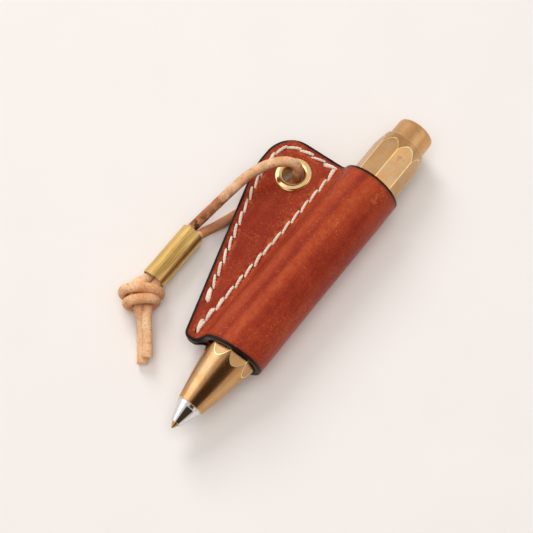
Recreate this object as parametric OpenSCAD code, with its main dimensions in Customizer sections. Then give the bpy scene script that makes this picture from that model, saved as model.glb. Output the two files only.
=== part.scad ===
// Leather sleeve for one pen, folded round it and saddle-stitched into a wing that carries
// an eyelet, a looped cord and a brass slide bead. The push-button pen lies in the sleeve.
// +Y runs along the pen to its push button, the wing points to -X, +Z is up.

/* [Leather] */
// Thickness of the leather
leather_t = 1.65; // [1.4:0.05:1.9]
// Slope of the wing down from level, in degrees
wing_tilt = 8.5; // [6:0.5:10]
// From the pen's axis to the wing's outermost edge
wing_reach = 29.75; // [28:0.25:32]
// From the pen's middle to the sleeve's upper mouth
sleeve_top = 32; // [30:0.5:33]
// From the pen's middle to the lower mouth, over the top of the tube
sleeve_low = 28.9; // [28:0.1:30]
// How much the wing's lower edge drops past the tube's mouth
wing_drop = 2.8; // [2:0.1:3.5]
// Radius of the wing's upper corner
corner_r = 7.85; // [6:0.05:9]
// Radius of the wing's lower corner
heel_r = 2.2; // [1.5:0.1:3]
// Radius of the moulded valley where the tube meets the wing
valley_r = 1.5; // [1.2:0.1:2]

/* [Stitching] */
// Diameter of the waxed thread
thread_d = 0.76; // [0.6:0.02:0.9]
// Distance from one awl hole to the next
stitch_pitch = 3.9; // [3.5:0.1:4.5]
// Distance of the outer row from the wing's edge
row_inset = 2.3; // [2:0.1:3]
// Slant of each stitch to its row, in degrees
stitch_slant = 9; // [0:1:15]

/* [Eyelet and cord] */
// Outer diameter of the eyelet's flange
eyelet_d = 10.4; // [9.5:0.1:11]
// Diameter of the hole through the eyelet
eyelet_hole_d = 5.9; // [5.8:0.1:6.2]
// Diameter of the round leather cord
cord_d = 2.8; // [2.6:0.1:2.8]
// Outer diameter of the slide bead
bead_d = 6.8; // [6.7:0.1:7]
// Inner diameter of the slide bead
bead_bore_d = 6.2; // [6.1:0.1:6.3]
// Length of the slide bead
bead_len = 17; // [15:0.5:17]

/* [Pen] */
// Length of the pen with its point out
pen_len = 106; // [106:0.5:108]
// Width of the eight-sided barrel across its flats
barrel_af = 12.9; // [12.8:0.05:13]
// Turn of the pen in the sleeve, in degrees
pen_turn = 3; // [0:1:20]
// Diameter of the push button
button_d = 10.8; // [10.6:0.1:10.9]
// How far the push button stands out
button_out = 5.9; // [5.5:0.1:6.5]
// Length of the turned cone before the barrel's flats
cone_len = 16.9; // [16:0.1:18]
// Visible length of the chromed nose
nose_len = 5.8; // [5.5:0.1:6]
// How far the point stands out of the nose
point_out = 1.6; // [1.4:0.1:1.8]

/* [Hidden] */

leather_red = [0.66, 0.26, 0.16];
thread_cream = [0.92, 0.85, 0.76];
eyelet_gold = [0.90, 0.72, 0.36];
cord_tan = [0.88, 0.69, 0.53];
bead_brass = [0.82, 0.68, 0.36];
pen_brass = [0.78, 0.63, 0.40];
chrome_grey = [0.85, 0.86, 0.88];
steel_grey = [0.70, 0.71, 0.72];
plastic_black = [0.12, 0.12, 0.13];

round_fn = 96;
running_gap = 0.07;

// Sleeve, in its own plane: u runs out from the pen's axis along the wing
barrel_r = barrel_af / 2 / cos(22.5);
bore_r = barrel_r + running_gap;
tube_r = bore_r + leather_t;
valley_u = sqrt(pow(tube_r + valley_r, 2) - pow(leather_t + valley_r, 2));
valley_bed = 0.02;
edge_slope = 0.3256;
edge_skew = sqrt(1 + edge_slope * edge_slope);
edge_bend_y = 15.6;
edge_bend_u = wing_reach - 0.85;
wing_low = sleeve_low + wing_drop;
heel_y = heel_r - wing_low;
heel_u = edge_u(heel_y) - heel_r * edge_skew;
fold_rise = 1.1;
axis_x = (wing_reach * cos(wing_tilt) + leather_t * sin(wing_tilt) - tube_r) / 2;

// Stitching
inner_row_top_u = 10.35;
inner_row_low_u = 11.4;
row_top_gap = 1.9;
inner_row_low_gap = 2.5;
outer_row_low_y = -20.9;
outer_row_bend_y = 14.6;
stitch_sink = 0.16;
stitch_gap = 0.5;
stitch_sides = 8;

// Eyelet
eye_u = 19.0;
eye_y = 22.2;
eye_wall = 0.4;
eye_dome = 0.75;
washer_t = 0.4;
washer_d = 9.6;
curl_r = 4.1;
curl_h = 0.3;

// Cord: each strand's route from the eyelet, over or under the wing, through the bead
// and into the knot
cord_r = cord_d / 2;
cord_sides = 8;
strand_gap = 1.45;
bead_x = -20.1;
bead_z = 4.3;
bead_low_y = -24.0;
eye_middle = [-7.9, 23.0, 5.9];
upper_route = [
    eye_middle,
    [-8.0, 23.3, 7.6],
    [-8.1, 23.6, 9.6],
    [-8.7, 23.5, 11.3],
    [-9.8, 23.0, 12.4],
    [-11.2, 22.1, 12.8],
    [-12.8, 20.7, 12.7],
    [-14.3, 18.9, 12.4],
    [-15.7, 16.6, 11.9],
    [-17.2, 12.9, 10.9],
    [-18.3, 8.6, 9.5],
    [-19.2, 4.3, 8.1],
    [-20.0, 0.4, 6.7],
    [-20.7, -2.8, 5.5],
    [-21.2, -5.8, 4.7],
    [-21.5, -8.6, 4.35],
    [bead_x - strand_gap, -12, bead_z],
    [bead_x - strand_gap, -18, bead_z],
    [bead_x - strand_gap, -24.2, bead_z],
    [-22.1, -25.9, 4.9],
    [-22.2, -27.5, 5.2],
    [-21.3, -29.2, 4.9]
];
lower_route = [
    eye_middle,
    [-8.0, 22.9, 4.5],
    [-8.5, 21.8, 3.0],
    [-9.5, 19.8, 1.85],
    [-10.8, 17.0, 1.45],
    [-12.1, 13.6, 1.42],
    [-13.4, 10.0, 1.42],
    [-14.6, 6.8, 1.42],
    [-15.6, 3.8, 1.48],
    [-16.5, 1.0, 1.8],
    [-17.3, -1.9, 2.5],
    [-18.1, -4.6, 3.5],
    [-18.55, -6.7, 4.1],
    [bead_x + strand_gap, -9, bead_z],
    [bead_x + strand_gap, -18, bead_z],
    [bead_x + strand_gap, -24.2, bead_z],
    [-18.7, -26.4, 4.4],
    [-18.9, -28.6, 4.6]
];
knot_at = [-19.1, -30.1, 4.72];
knot_turn = -47;
knot_sides = 6;
wide_wrap = [4.9, 3.3];
tight_wrap = [3.75, 3.1];
wrap_shift = 1.1;
wrap_lean = 10;
knot_core_r = 2.7;
left_tail = [[-17.9, -31.9, 4.3], [-8.2, -43.6, 1.42]];
right_tail = [[-16.4, -30.8, 5.3], [-7.3, -41.1, 3.1]];

// Pen, along its own axis with 0 at its middle
pen_half = pen_len / 2;
point_y = -pen_half;
nose_front = point_y + point_out;
nose_back = nose_front + nose_len;
cone_back = nose_back + cone_len;
button_end = pen_half;
barrel_end = button_end - button_out;
nose_collar_r = 3.5;
nose_bore_r = 1.25;
cone_front_r = 3.7;
cone_bulge = 0.15;
cone_steps = 8;
rear_shoulder_r = 6.1;
rear_taper_len = 4.5;
shoulder_edge = 0.3;
joint_y = 8;
spigot_r = 5.2;
spigot_len = 7;
thread_play = 0.03;
nose_spigot_r = 2.9;
nose_spigot_len = 5.6;
refill_r = 2.95;
refill_bore_r = 3.05;
refill_front = nose_back + 7.6;
refill_back = button_end - 8;
refill_wall = 0.35;
refill_vent_r = 0.8;
point_r = 1.15;
point_shoulder_r = 1.45;
chamber_r = 2.4;
chamber_front = nose_front + 4.1;
rear_bore_r = 3.4;
button_bore_y = barrel_end - 11.1;
button_r = button_d / 2;
button_bore_r = button_r + running_gap;
button_wall = 0.8;
button_skirt = 7.6;
button_rim = 0.8;
button_top_t = 1;

// Click mechanism
guide_r = button_r - button_wall - 0.1;
guide_bore_r = 3.45;
guide_end = button_end - 3;
guide_flange = 1.5;
rib_r = 4.0;
rib_w = 1.2;
rib_count = 4;
slot_play = 0.08;
rotor_r = guide_bore_r - 0.05;
rotor_cup = 3.5;
rotor_head = 1.6;
tooth_count = 8;
tooth_h = 0.8;
tooth_w = 1.25;
tooth_inner_r = 2.2;
tooth_bed = 0.2;
crown_y = refill_back + rotor_head;
stem_r = 2;

// Return spring
spring_r = 2.0;
spring_wire_r = 0.22;
spring_turns = 9;
spring_ends = 0.25;

function edge_u(y) = edge_bend_u + edge_slope * (y - edge_bend_y);
function arc(c, r, from, to, n) = [
    for (i = [0:n]) c + r * [cos(from + (to - from) * i / n), sin(from + (to - from) * i / n)]
];

function flipped(p) = [for (i = [len(p) - 1:-1:0]) [p[i][0], -p[i][1]]];

// Points at equal steps along a line of points
function run_len(p, i = 0) = i >= len(p) - 1 ? 0 : norm(p[i + 1] - p[i]) + run_len(p, i + 1);
function run_at(p, s, i = 0) =
    let (d = norm(p[i + 1] - p[i]))
    s <= d || i >= len(p) - 2 ? p[i] + (p[i + 1] - p[i]) * s / d : run_at(p, s - d, i + 1);
function even_points(p, pitch) =
    let (total = run_len(p), n = round(total / pitch))
    [for (i = [0:n]) run_at(p, min(total * i / n, total - 0.001))];

// A tube swept along a route, its rings carried from one to the next without twist
function unit(v) = v / norm(v);
function headings(p) = [
    for (i = [0:len(p) - 1]) unit(p[min(i + 1, len(p) - 1)] - p[max(i - 1, 0)])
];
function square_to(n, t) = unit(n - (n * t) * t);
function carried(t, n, i = 0) =
    i >= len(t) ? [] : let (m = square_to(n, t[i])) concat([m], carried(t, m, i + 1));
function ring(c, n, b, r, sides) = [
    for (j = [0:sides - 1]) c + r * (cos(360 * j / sides) * n + sin(360 * j / sides) * b)
];
function wall_faces(rings, sides, closed) = [
    for (i = [0:rings - (closed ? 1 : 2)], j = [0:sides - 1], half = [0, 1])
        let (
            a = i * sides + j,
            b = i * sides + (j + 1) % sides,
            c = ((i + 1) % rings) * sides + (j + 1) % sides,
            d = ((i + 1) % rings) * sides + j
        )
        half == 0 ? [a, c, b] : [a, d, c]
];
function end_faces(rings, sides) = [
    for (j = [1:sides - 2], last = [0, 1])
        last == 0 ? [0, j, j + 1] : [for (k = [0, j + 1, j]) (rings - 1) * sides + k]
];

module swept(p, r, sides, side_way = [1, 0, 0]) {
    t = headings(p);
    n = carried(t, side_way);
    points = [for (i = [0:len(p) - 1]) each ring(p[i], n[i], cross(t[i], n[i]), r, sides)];
    faces = concat(wall_faces(len(p), sides, false), end_faces(len(p), sides));
    polyhedron(points = points, faces = faces);
}

// A closed oval loop across the local X axis
module oval_loop(half_w, half_h, r, sides, rings = 24) {
    function at(a) = [0, half_w * cos(a), half_h * sin(a)];
    function way(a) = unit([0, -half_w * sin(a), half_h * cos(a)]);
    points = [
        for (i = [0:rings - 1])
            each ring(at(360 * i / rings), [1, 0, 0], cross(way(360 * i / rings), [1, 0, 0]), r, sides)
    ];
    polyhedron(points = points, faces = wall_faces(rings, sides, true));
}

module along_pen() {
    translate([axis_x, 0, tube_r])
        rotate([-90, 0, 0])
            children();
}

module in_wing() {
    translate([axis_x, 0, tube_r])
        rotate([0, -wing_tilt, 0])
            children();
}

// Runs a shape drawn across the pen right along it
module lengthwise(length) {
    rotate([90, 0, 0])
        linear_extrude(length, center = true)
            children();
}

// The folded leather: tube, two layers of the wing and the moulded valleys
module folded_leather(length) {
    valley_end = -atan2(leather_t + valley_r, valley_u);
    middle = [valley_bed - valley_u, leather_t + valley_r];
    valley = arc(middle, valley_r, -90, valley_end, 6);
    hollow = arc(middle, valley_r + leather_t, -90, valley_end, 6);
    difference() {
        union() {
            lengthwise(length)
                circle(tube_r, $fn = round_fn);
            lengthwise(length)
                polygon(concat(
                    [[-wing_reach - 1, -leather_t], [-wing_reach - 1, leather_t]],
                    valley,
                    [[-tube_r / 2, 0]],
                    flipped(valley)
                ));
        }
        lengthwise(length + 2)
            circle(bore_r, $fn = round_fn);
        lengthwise(length + 2)
            polygon(concat(hollow, [[-tube_r / 2, 0]], flipped(hollow)));
    }
}

// The sleeve's outline seen square to the wing
module sleeve_plan() {
    corner = arc([wing_reach - corner_r, sleeve_top - corner_r], corner_r, 90, 0, 10);
    bend = [
        [wing_reach - 0.05, edge_bend_y + 5.2],
        [wing_reach - 0.3, edge_bend_y + 2.7],
        [edge_bend_u, edge_bend_y]
    ];
    heel = arc([heel_u, heel_y], heel_r, -atan(edge_slope), -90, 6);
    mouth = [
        [9.6, -wing_low + 0.5],
        [8.4, -wing_low + 1.5],
        [7.0, -wing_low + 2.1],
        [0, -sleeve_low],
        [-tube_r, fold_rise - sleeve_low],
        [-tube_r - 1, fold_rise - sleeve_low]
    ];
    mirror([1, 0])
        polygon(concat([[-tube_r - 1, sleeve_top]], corner, bend, heel, mouth));
}

module leather_sleeve() {
    color(leather_red)
        in_wing()
            difference() {
                intersection() {
                    folded_leather(2 * (wing_low + sleeve_top));
                    linear_extrude(2 * tube_r + 2, center = true)
                        sleeve_plan();
                }
                translate([-eye_u, eye_y, 0])
                    cylinder(r = eyelet_hole_d / 2 + eye_wall, h = 4 * leather_t,
                             center = true, $fn = round_fn);
            }
}

// The line of awl holes, as [u, y]: up the outer edge, round the corner, along the top,
// then down beside the tube
function outer_row() = concat(
    [
        for (y = [outer_row_low_y, outer_row_bend_y])
            [edge_u(y) - row_inset * edge_skew, y]
    ],
    arc([wing_reach - corner_r, sleeve_top - corner_r], corner_r - row_inset, -10, 90, 8),
    [[inner_row_top_u, sleeve_top - row_top_gap]]
);
function inner_row() = [
    [inner_row_top_u, sleeve_top - row_top_gap],
    [inner_row_low_u, inner_row_low_gap - wing_low]
];

// One stitch, plump in the middle like a grain of rice
module stitch(len) {
    half = len / 2;
    r = thread_d / 2;
    rotate([90, 0, 0])
        rotate_extrude($fn = stitch_sides)
            polygon([
                [0, -half],
                [r, -0.55 * half],
                [r, 0.55 * half],
                [0, half]
            ]);
}

module stitch_row(row, face) {
    holes = even_points(row, stitch_pitch);
    for (i = [0:len(holes) - 2]) {
        a = holes[i];
        b = holes[i + 1];
        mid = (a + b) / 2;
        heading = atan2(-(b[0] - a[0]), b[1] - a[1]);
        translate([-mid[0], mid[1], face * (leather_t + thread_d / 2 - stitch_sink)])
            rotate([0, 0, -heading + face * stitch_slant])
                stitch(norm(b - a) - stitch_gap);
    }
}

module stitching() {
    color(thread_cream)
        in_wing()
            for (face = [1, -1]) {
                stitch_row(outer_row(), face);
                stitch_row(inner_row(), face);
            }
}

module eyelet() {
    hole_r = eyelet_hole_d / 2;
    half_w = (eyelet_d / 2 - hole_r) / 2;
    dome_r = (eye_dome * eye_dome + half_w * half_w) / (2 * eye_dome);
    dome_end = asin(half_w / dome_r);
    back = -leather_t - washer_t;
    dome = arc([hole_r + half_w, leather_t + eye_dome - dome_r], dome_r,
               90 + dome_end, 90 - dome_end, 8);
    color(eyelet_gold)
        in_wing()
            translate([-eye_u, eye_y, 0])
                rotate_extrude($fn = round_fn)
                    polygon(concat(dome, [
                        [hole_r + eye_wall, leather_t],
                        [hole_r + eye_wall, back],
                        [curl_r, back],
                        [curl_r - 0.1, back - curl_h],
                        [hole_r + 0.3, back - curl_h],
                        [hole_r, back + 0.1]
                    ]));
}

module eyelet_washer() {
    color(eyelet_gold)
        in_wing()
            translate([-eye_u, eye_y, -leather_t - washer_t])
                difference() {
                    cylinder(d = washer_d, h = washer_t, $fn = round_fn);
                    translate([0, 0, -1])
                        cylinder(r = eyelet_hole_d / 2 + eye_wall, h = washer_t + 2,
                                 $fn = round_fn);
                }
}

module cord_upper() {
    color(cord_tan)
        swept(upper_route, cord_r, cord_sides);
}

module cord_lower() {
    color(cord_tan)
        swept(lower_route, cord_r, cord_sides);
}

// Both strands tied together: two wraps side by side over a full core
module cord_knot() {
    core = [[-3.6, 0.6, 0], [-2, 0.2, 0.1], [0, 0, 0], [2.2, 0, -0.1], [3, 0, -0.2]];
    color(cord_tan)
        translate(knot_at)
            rotate([0, 0, knot_turn]) {
                translate([-wrap_shift, 0, 0])
                    rotate([0, 0, wrap_lean])
                        oval_loop(wide_wrap[0], wide_wrap[1], cord_r, knot_sides);
                translate([wrap_shift, 0, 0])
                    rotate([0, 0, -wrap_lean / 2])
                        oval_loop(tight_wrap[0], tight_wrap[1], cord_r, knot_sides);
                swept(core, knot_core_r, cord_sides, [0, 1, 0]);
            }
}

// A straight round rod from one point to another
module rod(a, b, r) {
    d = b - a;
    translate(a)
        rotate([0, acos(d[2] / norm(d)), atan2(d[1], d[0])])
            cylinder(r = r, h = norm(d), $fn = 48);
}

module cord_tails() {
    color(cord_tan) {
        rod(left_tail[0], left_tail[1], cord_r);
        rod(right_tail[0], right_tail[1], cord_r);
    }
}

module slide_bead() {
    color(bead_brass)
        translate([bead_x, bead_low_y, bead_z])
            rotate([-90, 0, 0])
                difference() {
                    cylinder(d = bead_d, h = bead_len, $fn = round_fn);
                    translate([0, 0, -1])
                        cylinder(d = bead_bore_d, h = bead_len + 2, $fn = round_fn);
                }
}

// Eight flats, one corner near the top
module octagon(from, to) {
    translate([0, 0, from])
        linear_extrude(to - from)
            rotate(pen_turn)
                circle(barrel_r, $fn = 8);
}

module turned(points) {
    rotate_extrude($fn = round_fn)
        polygon(points);
}

function cone_point(s) = [
    cone_front_r + (barrel_r - cone_front_r) * s + 4 * cone_bulge * s * (1 - s),
    nose_back + cone_len * s
];

module front_barrel() {
    over = barrel_r + 0.6;
    cone = [for (i = [0:cone_steps]) cone_point(i / cone_steps)];
    color(pen_brass)
        along_pen()
            difference() {
                union() {
                    intersection() {
                        octagon(nose_back, joint_y);
                        turned(concat([[0, nose_back]], cone,
                                      [[over, cone_back + 2.6], [over, joint_y], [0, joint_y]]));
                    }
                    translate([0, 0, joint_y - 1])
                        cylinder(r = spigot_r, h = spigot_len + 1, $fn = round_fn);
                }
                translate([0, 0, nose_back - 1])
                    cylinder(r = nose_spigot_r, h = nose_spigot_len + 1, $fn = round_fn);
                translate([0, 0, nose_back + nose_spigot_len - 0.01])
                    cylinder(r = refill_bore_r, h = pen_len, $fn = round_fn);
            }
}

module rear_barrel() {
    taper_y = barrel_end - shoulder_edge - rear_taper_len;
    taper = (barrel_r - rear_shoulder_r) / rear_taper_len;
    over = 0.6;
    color(pen_brass)
        along_pen()
            difference() {
                intersection() {
                    octagon(joint_y, barrel_end);
                    turned([
                        [0, joint_y],
                        [barrel_r + over, joint_y],
                        [barrel_r + over, taper_y - over / taper],
                        [rear_shoulder_r, barrel_end - shoulder_edge],
                        [rear_shoulder_r - shoulder_edge, barrel_end],
                        [0, barrel_end]
                    ]);
                }
                translate([0, 0, joint_y - 1])
                    cylinder(r = spigot_r + thread_play, h = spigot_len + 1.1, $fn = round_fn);
                translate([0, 0, joint_y])
                    cylinder(r = rear_bore_r, h = button_bore_y - joint_y + 1, $fn = round_fn);
                translate([0, 0, button_bore_y])
                    cylinder(r = button_bore_r, h = pen_len, $fn = round_fn);
            }
}

module nose_cap() {
    color(chrome_grey)
        along_pen()
            turned([
                [nose_bore_r, nose_front + 0.1],
                [nose_bore_r + 0.1, nose_front],
                [1.4, nose_front + 0.05],
                [1.55, nose_front + 0.25],
                [3.3, nose_back - 1.05],
                [nose_collar_r - 0.05, nose_back - 0.95],
                [nose_collar_r, nose_back],
                [nose_spigot_r, nose_back],
                [nose_spigot_r, nose_back + nose_spigot_len],
                [chamber_r, nose_back + nose_spigot_len],
                [chamber_r, chamber_front],
                [nose_bore_r, chamber_front]
            ]);
}

module refill_point() {
    color(steel_grey)
        along_pen()
            turned([
                [0, point_y],
                [0.28, point_y + 0.1],
                [0.36, point_y + 0.32],
                [0.42, point_y + 0.4],
                [1.02, point_y + 1.55],
                [point_r, point_y + 1.9],
                [point_r, refill_front - 1.6],
                [point_shoulder_r, refill_front - 0.8],
                [point_shoulder_r, refill_front],
                [0, refill_front]
            ]);
}

module refill_tube() {
    color(steel_grey)
        along_pen()
            turned([
                [0, refill_front],
                [refill_r - 0.2, refill_front],
                [refill_r, refill_front + 0.2],
                [refill_r, refill_back - 0.3],
                [refill_r - 0.3, refill_back],
                [refill_vent_r, refill_back],
                [refill_vent_r, refill_back - 2 * refill_wall],
                [refill_r - refill_wall, refill_back - 2 * refill_wall],
                [refill_r - refill_wall, refill_front + 1],
                [0, refill_front + 1]
            ]);
}

module return_spring() {
    from = chamber_front + spring_ends;
    length = refill_front - from - spring_ends;
    coil = [
        for (i = [0:8 * spring_turns])
            [
                spring_r * cos(45 * i),
                spring_r * sin(45 * i),
                from + length * i / (8 * spring_turns)
            ]
    ];
    color(steel_grey)
        along_pen()
            swept(coil, spring_wire_r, 6, [1, 0, 0]);
}

// Ribs and slots share their places round the axis
module ribs(r, w, from, to) {
    intersection() {
        translate([0, 0, from])
            cylinder(r = r, h = to - from, $fn = round_fn);
        for (i = [0:rib_count - 1])
            rotate(360 * i / rib_count)
                translate([rotor_r - 0.4, -w / 2, from])
                    cube([3, w, to - from]);
    }
}

module click_guide() {
    color(plastic_black)
        along_pen()
            difference() {
                union() {
                    translate([0, 0, button_bore_y])
                        cylinder(r = guide_r, h = guide_end - button_bore_y, $fn = round_fn);
                    translate([0, 0, button_bore_y])
                        cylinder(r = button_bore_r, h = guide_flange, $fn = round_fn);
                }
                translate([0, 0, button_bore_y - 1])
                    cylinder(r = guide_bore_r, h = pen_len, $fn = round_fn);
                ribs(rib_r + slot_play, rib_w + 2 * slot_play, button_bore_y - 1, guide_end + 1);
            }
}

// A crown of wedge teeth round the axis, pointing up or down
module crown(base, dir, turn) {
    intersection() {
        translate([0, 0, base - 1.5 * tooth_h])
            difference() {
                cylinder(r = rotor_r - 0.05, h = 3 * tooth_h, $fn = round_fn);
                translate([0, 0, -1])
                    cylinder(r = tooth_inner_r, h = 3 * tooth_h + 2, $fn = round_fn);
            }
        for (i = [0:tooth_count - 1])
            rotate(turn + 360 * i / tooth_count)
                translate([tooth_inner_r - 0.4, 0, base])
                    rotate([90, 0, 90])
                        linear_extrude(rotor_r)
                            polygon([
                                [-tooth_w / 2, -dir * tooth_bed],
                                [tooth_w / 2, -dir * tooth_bed],
                                [tooth_w / 2, 0],
                                [0, dir * tooth_h],
                                [-tooth_w / 2, 0]
                            ]);
    }
}

module click_rotor() {
    color(plastic_black)
        along_pen() {
            difference() {
                union() {
                    translate([0, 0, refill_back - rotor_cup])
                        cylinder(r = rotor_r, h = rotor_cup + rotor_head, $fn = round_fn);
                    ribs(rib_r, rib_w, refill_back - rotor_cup, refill_back);
                }
                translate([0, 0, refill_back - rotor_cup - 1])
                    cylinder(r = refill_bore_r - 0.05, h = rotor_cup + 1, $fn = round_fn);
            }
            crown(crown_y, 1, 0);
        }
}

module click_plunger() {
    base = crown_y + tooth_h + 0.05;
    color(plastic_black)
        along_pen() {
            crown(base, -1, 180 / tooth_count);
            translate([0, 0, base])
                cylinder(r = rotor_r, h = 1.2, $fn = round_fn);
            ribs(rib_r, rib_w, base, base + 1.2);
            translate([0, 0, base + 1.2])
                cylinder(r = stem_r, h = button_end - button_top_t - base - 1.2, $fn = round_fn);
        }
}

module push_button() {
    inner_r = button_r - button_wall;
    top = button_end - button_top_t;
    skirt = barrel_end - button_skirt;
    rim = arc([button_r - button_rim, button_end - button_rim], button_rim, 0, 80, 6);
    color(pen_brass)
        along_pen()
            turned(concat(
                [[inner_r, skirt], [button_r, skirt]],
                rim,
                [[0, button_end], [0, top], [inner_r, top]]
            ));
}

echo(upper_strand_mm = run_len(upper_route), lower_strand_mm = run_len(lower_route));
echo(left_tail_mm = run_len(left_tail), right_tail_mm = run_len(right_tail));

leather_sleeve();
stitching();
eyelet();
eyelet_washer();
cord_upper();
cord_lower();
cord_knot();
cord_tails();
slide_bead();
front_barrel();
rear_barrel();
nose_cap();
refill_tube();
refill_point();
return_spring();
click_guide();
click_rotor();
click_plunger();
push_button();
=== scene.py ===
import math

import bmesh
import bpy
from mathutils import Matrix, Vector, noise

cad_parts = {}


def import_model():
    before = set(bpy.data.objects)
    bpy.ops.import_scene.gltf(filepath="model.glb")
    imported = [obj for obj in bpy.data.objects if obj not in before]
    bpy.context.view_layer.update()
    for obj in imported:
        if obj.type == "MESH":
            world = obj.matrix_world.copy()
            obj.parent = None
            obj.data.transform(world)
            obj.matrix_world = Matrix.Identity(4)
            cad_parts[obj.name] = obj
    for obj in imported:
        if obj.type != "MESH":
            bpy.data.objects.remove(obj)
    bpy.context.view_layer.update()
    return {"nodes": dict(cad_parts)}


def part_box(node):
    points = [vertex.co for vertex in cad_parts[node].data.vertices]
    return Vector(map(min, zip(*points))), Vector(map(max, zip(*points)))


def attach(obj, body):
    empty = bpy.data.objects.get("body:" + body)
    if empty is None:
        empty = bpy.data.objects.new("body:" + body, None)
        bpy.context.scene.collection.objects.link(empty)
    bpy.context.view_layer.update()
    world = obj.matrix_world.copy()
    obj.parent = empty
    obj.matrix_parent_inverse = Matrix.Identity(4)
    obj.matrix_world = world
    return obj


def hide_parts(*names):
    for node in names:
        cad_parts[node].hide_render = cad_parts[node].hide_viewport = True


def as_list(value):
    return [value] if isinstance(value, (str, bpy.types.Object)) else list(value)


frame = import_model()
mm = 0.001
fullTurn = 6.283185  # radians
world = bpy.context.scene.collection


def middleOf(node):
    low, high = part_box(node)
    return (low + high) / 2 / mm


penAxis = middleOf("push_button")
penX, penZ = penAxis.x, penAxis.z  # mm, where the pen's axis runs along Y
print("frame loaded, pen axis at", round(penX, 2), round(penZ, 2))


camera = {
    "place": (71.4 + penX, -104.6, 361.8),
    "aim": (-10.03 + penX, -1.12, 0),
    "lens": 95.6,
    "sensor": 36,
}


def setUpCamera():
    data = bpy.data.cameras.new("camera")
    data.lens = camera["lens"]
    data.sensor_width = camera["sensor"]
    data.clip_start, data.clip_end = 0.01, 5
    eye = bpy.data.objects.new("camera", data)
    world.objects.link(eye)
    eye.location = Vector(camera["place"]) * mm
    away = Vector(camera["aim"]) - Vector(camera["place"])
    eye.rotation_mode = "QUATERNION"
    eye.rotation_quaternion = away.to_track_quat("-Z", "Y")
    bpy.context.scene.camera = eye


setUpCamera()
print("camera set")


class Wire:  # one socket, so that maths on it reads as a plain expression
    def __init__(self, graph, socket):
        self.graph = graph
        self.socket = socket

    def maths(self, operation, *others):
        return self.graph.maths(operation, self, *others)

    def __add__(self, other):
        return self.maths("ADD", other)

    def __radd__(self, other):
        return self.graph.maths("ADD", other, self)

    def __sub__(self, other):
        return self.maths("SUBTRACT", other)

    def __rsub__(self, other):
        return self.graph.maths("SUBTRACT", other, self)

    def __mul__(self, other):
        return self.maths("MULTIPLY", other)

    def __rmul__(self, other):
        return self.graph.maths("MULTIPLY", other, self)

    def __truediv__(self, other):
        return self.maths("DIVIDE", other)

    def __rtruediv__(self, other):
        return self.graph.maths("DIVIDE", other, self)

    def __pow__(self, other):
        return self.maths("POWER", other)

    def __mod__(self, other):
        return self.maths("FLOORED_MODULO", other)

    def __abs__(self):
        return self.maths("ABSOLUTE")

    def atMost(self, other):
        return self.maths("MINIMUM", other)

    def atLeast(self, other):
        return self.maths("MAXIMUM", other)

    def output(self, name):  # another output of the same node
        return Wire(self.graph, self.socket.node.outputs[name])

    def between(self, low, high):  # 0 below low, 1 above high, smooth in between
        settings = {"interpolation_type": "SMOOTHSTEP"}
        values = {"Value": self, "From Min": low, "From Max": high}
        return self.graph.node("ShaderNodeMapRange", settings, values)


class Graph:
    def __init__(self, tree):
        self.tree = tree

    def node(self, kind, settings=None, values=None, output=0):
        made = self.tree.nodes.new(kind)
        for name, value in (settings or {}).items():
            if name == "stops":
                for place, (position, tint) in enumerate(value):
                    if place > 1:
                        made.color_ramp.elements.new(position)
                    stop = made.color_ramp.elements[place]
                    stop.position, stop.color = position, (*tint[:3], 1)
            else:
                setattr(made, name, value)
        for name, value in (values or {}).items():
            socket = made.inputs[name]
            if isinstance(value, Wire):
                self.tree.links.new(value.socket, socket)
            else:
                socket.default_value = value
        return Wire(self, made.outputs[output])

    def maths(self, operation, *values):
        return self.node("ShaderNodeMath", {"operation": operation}, dict(enumerate(values)))

    def vectorMaths(self, operation, *values, output="Vector"):
        values = dict(enumerate(values))
        return self.node("ShaderNodeVectorMath", {"operation": operation}, values, output)

    def vector(self, x=0, y=0, z=0):
        return self.node("ShaderNodeCombineXYZ", {}, {"X": x, "Y": y, "Z": z})

    def noise(self, place, scale, detail=2.0, roughness=0.5, distortion=0.0):
        values = {"Vector": place, "Scale": scale, "Detail": detail}
        values.update({"Roughness": roughness, "Distortion": distortion})
        return self.node("ShaderNodeTexNoise", {}, values)

    def mixColour(self, share, first, second):
        values = {0: share, 6: first, 7: second}
        return self.node("ShaderNodeMix", {"data_type": "RGBA"}, values, 2)

    def painted(self, shade, *coats):  # each coat is its share and its colour, one over another
        for share, tint in coats:
            shade = self.mixColour(share, shade, tint)
        return shade

    def ramp(self, share, *stops):
        return self.node("ShaderNodeValToRGB", {"stops": stops}, {"Fac": share})

    def attribute(self, name):
        return self.node("ShaderNodeAttribute", {"attribute_name": name}, {}, "Fac")

    def objectPlace(self, stretch=(1, 1, 1)):
        place = self.node("ShaderNodeTexCoord", {}, {}, "Object")
        return self.node("ShaderNodeMapping", {}, {"Vector": place, "Scale": stretch})

    def fromPen(self, place):  # mm from the pen's axis across, along and up
        parts = self.node("ShaderNodeSeparateXYZ", {}, {"Vector": place})
        across, along, up = (parts.output(way) / mm for way in "XYZ")
        return across - penX, along, up - penZ

    def bump(self, height, distance, strength=1.0):
        values = {"Height": height, "Distance": distance, "Strength": strength}
        return self.node("ShaderNodeBump", {}, values)


def colour(red, green, blue):  # sRGB 0-255 to the linear values that shaders take
    def linear(part):
        part = part / 255
        return part / 12.92 if part < 0.04045 else ((part + 0.055) / 1.055) ** 2.4
    return (linear(red), linear(green), linear(blue), 1)


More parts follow.
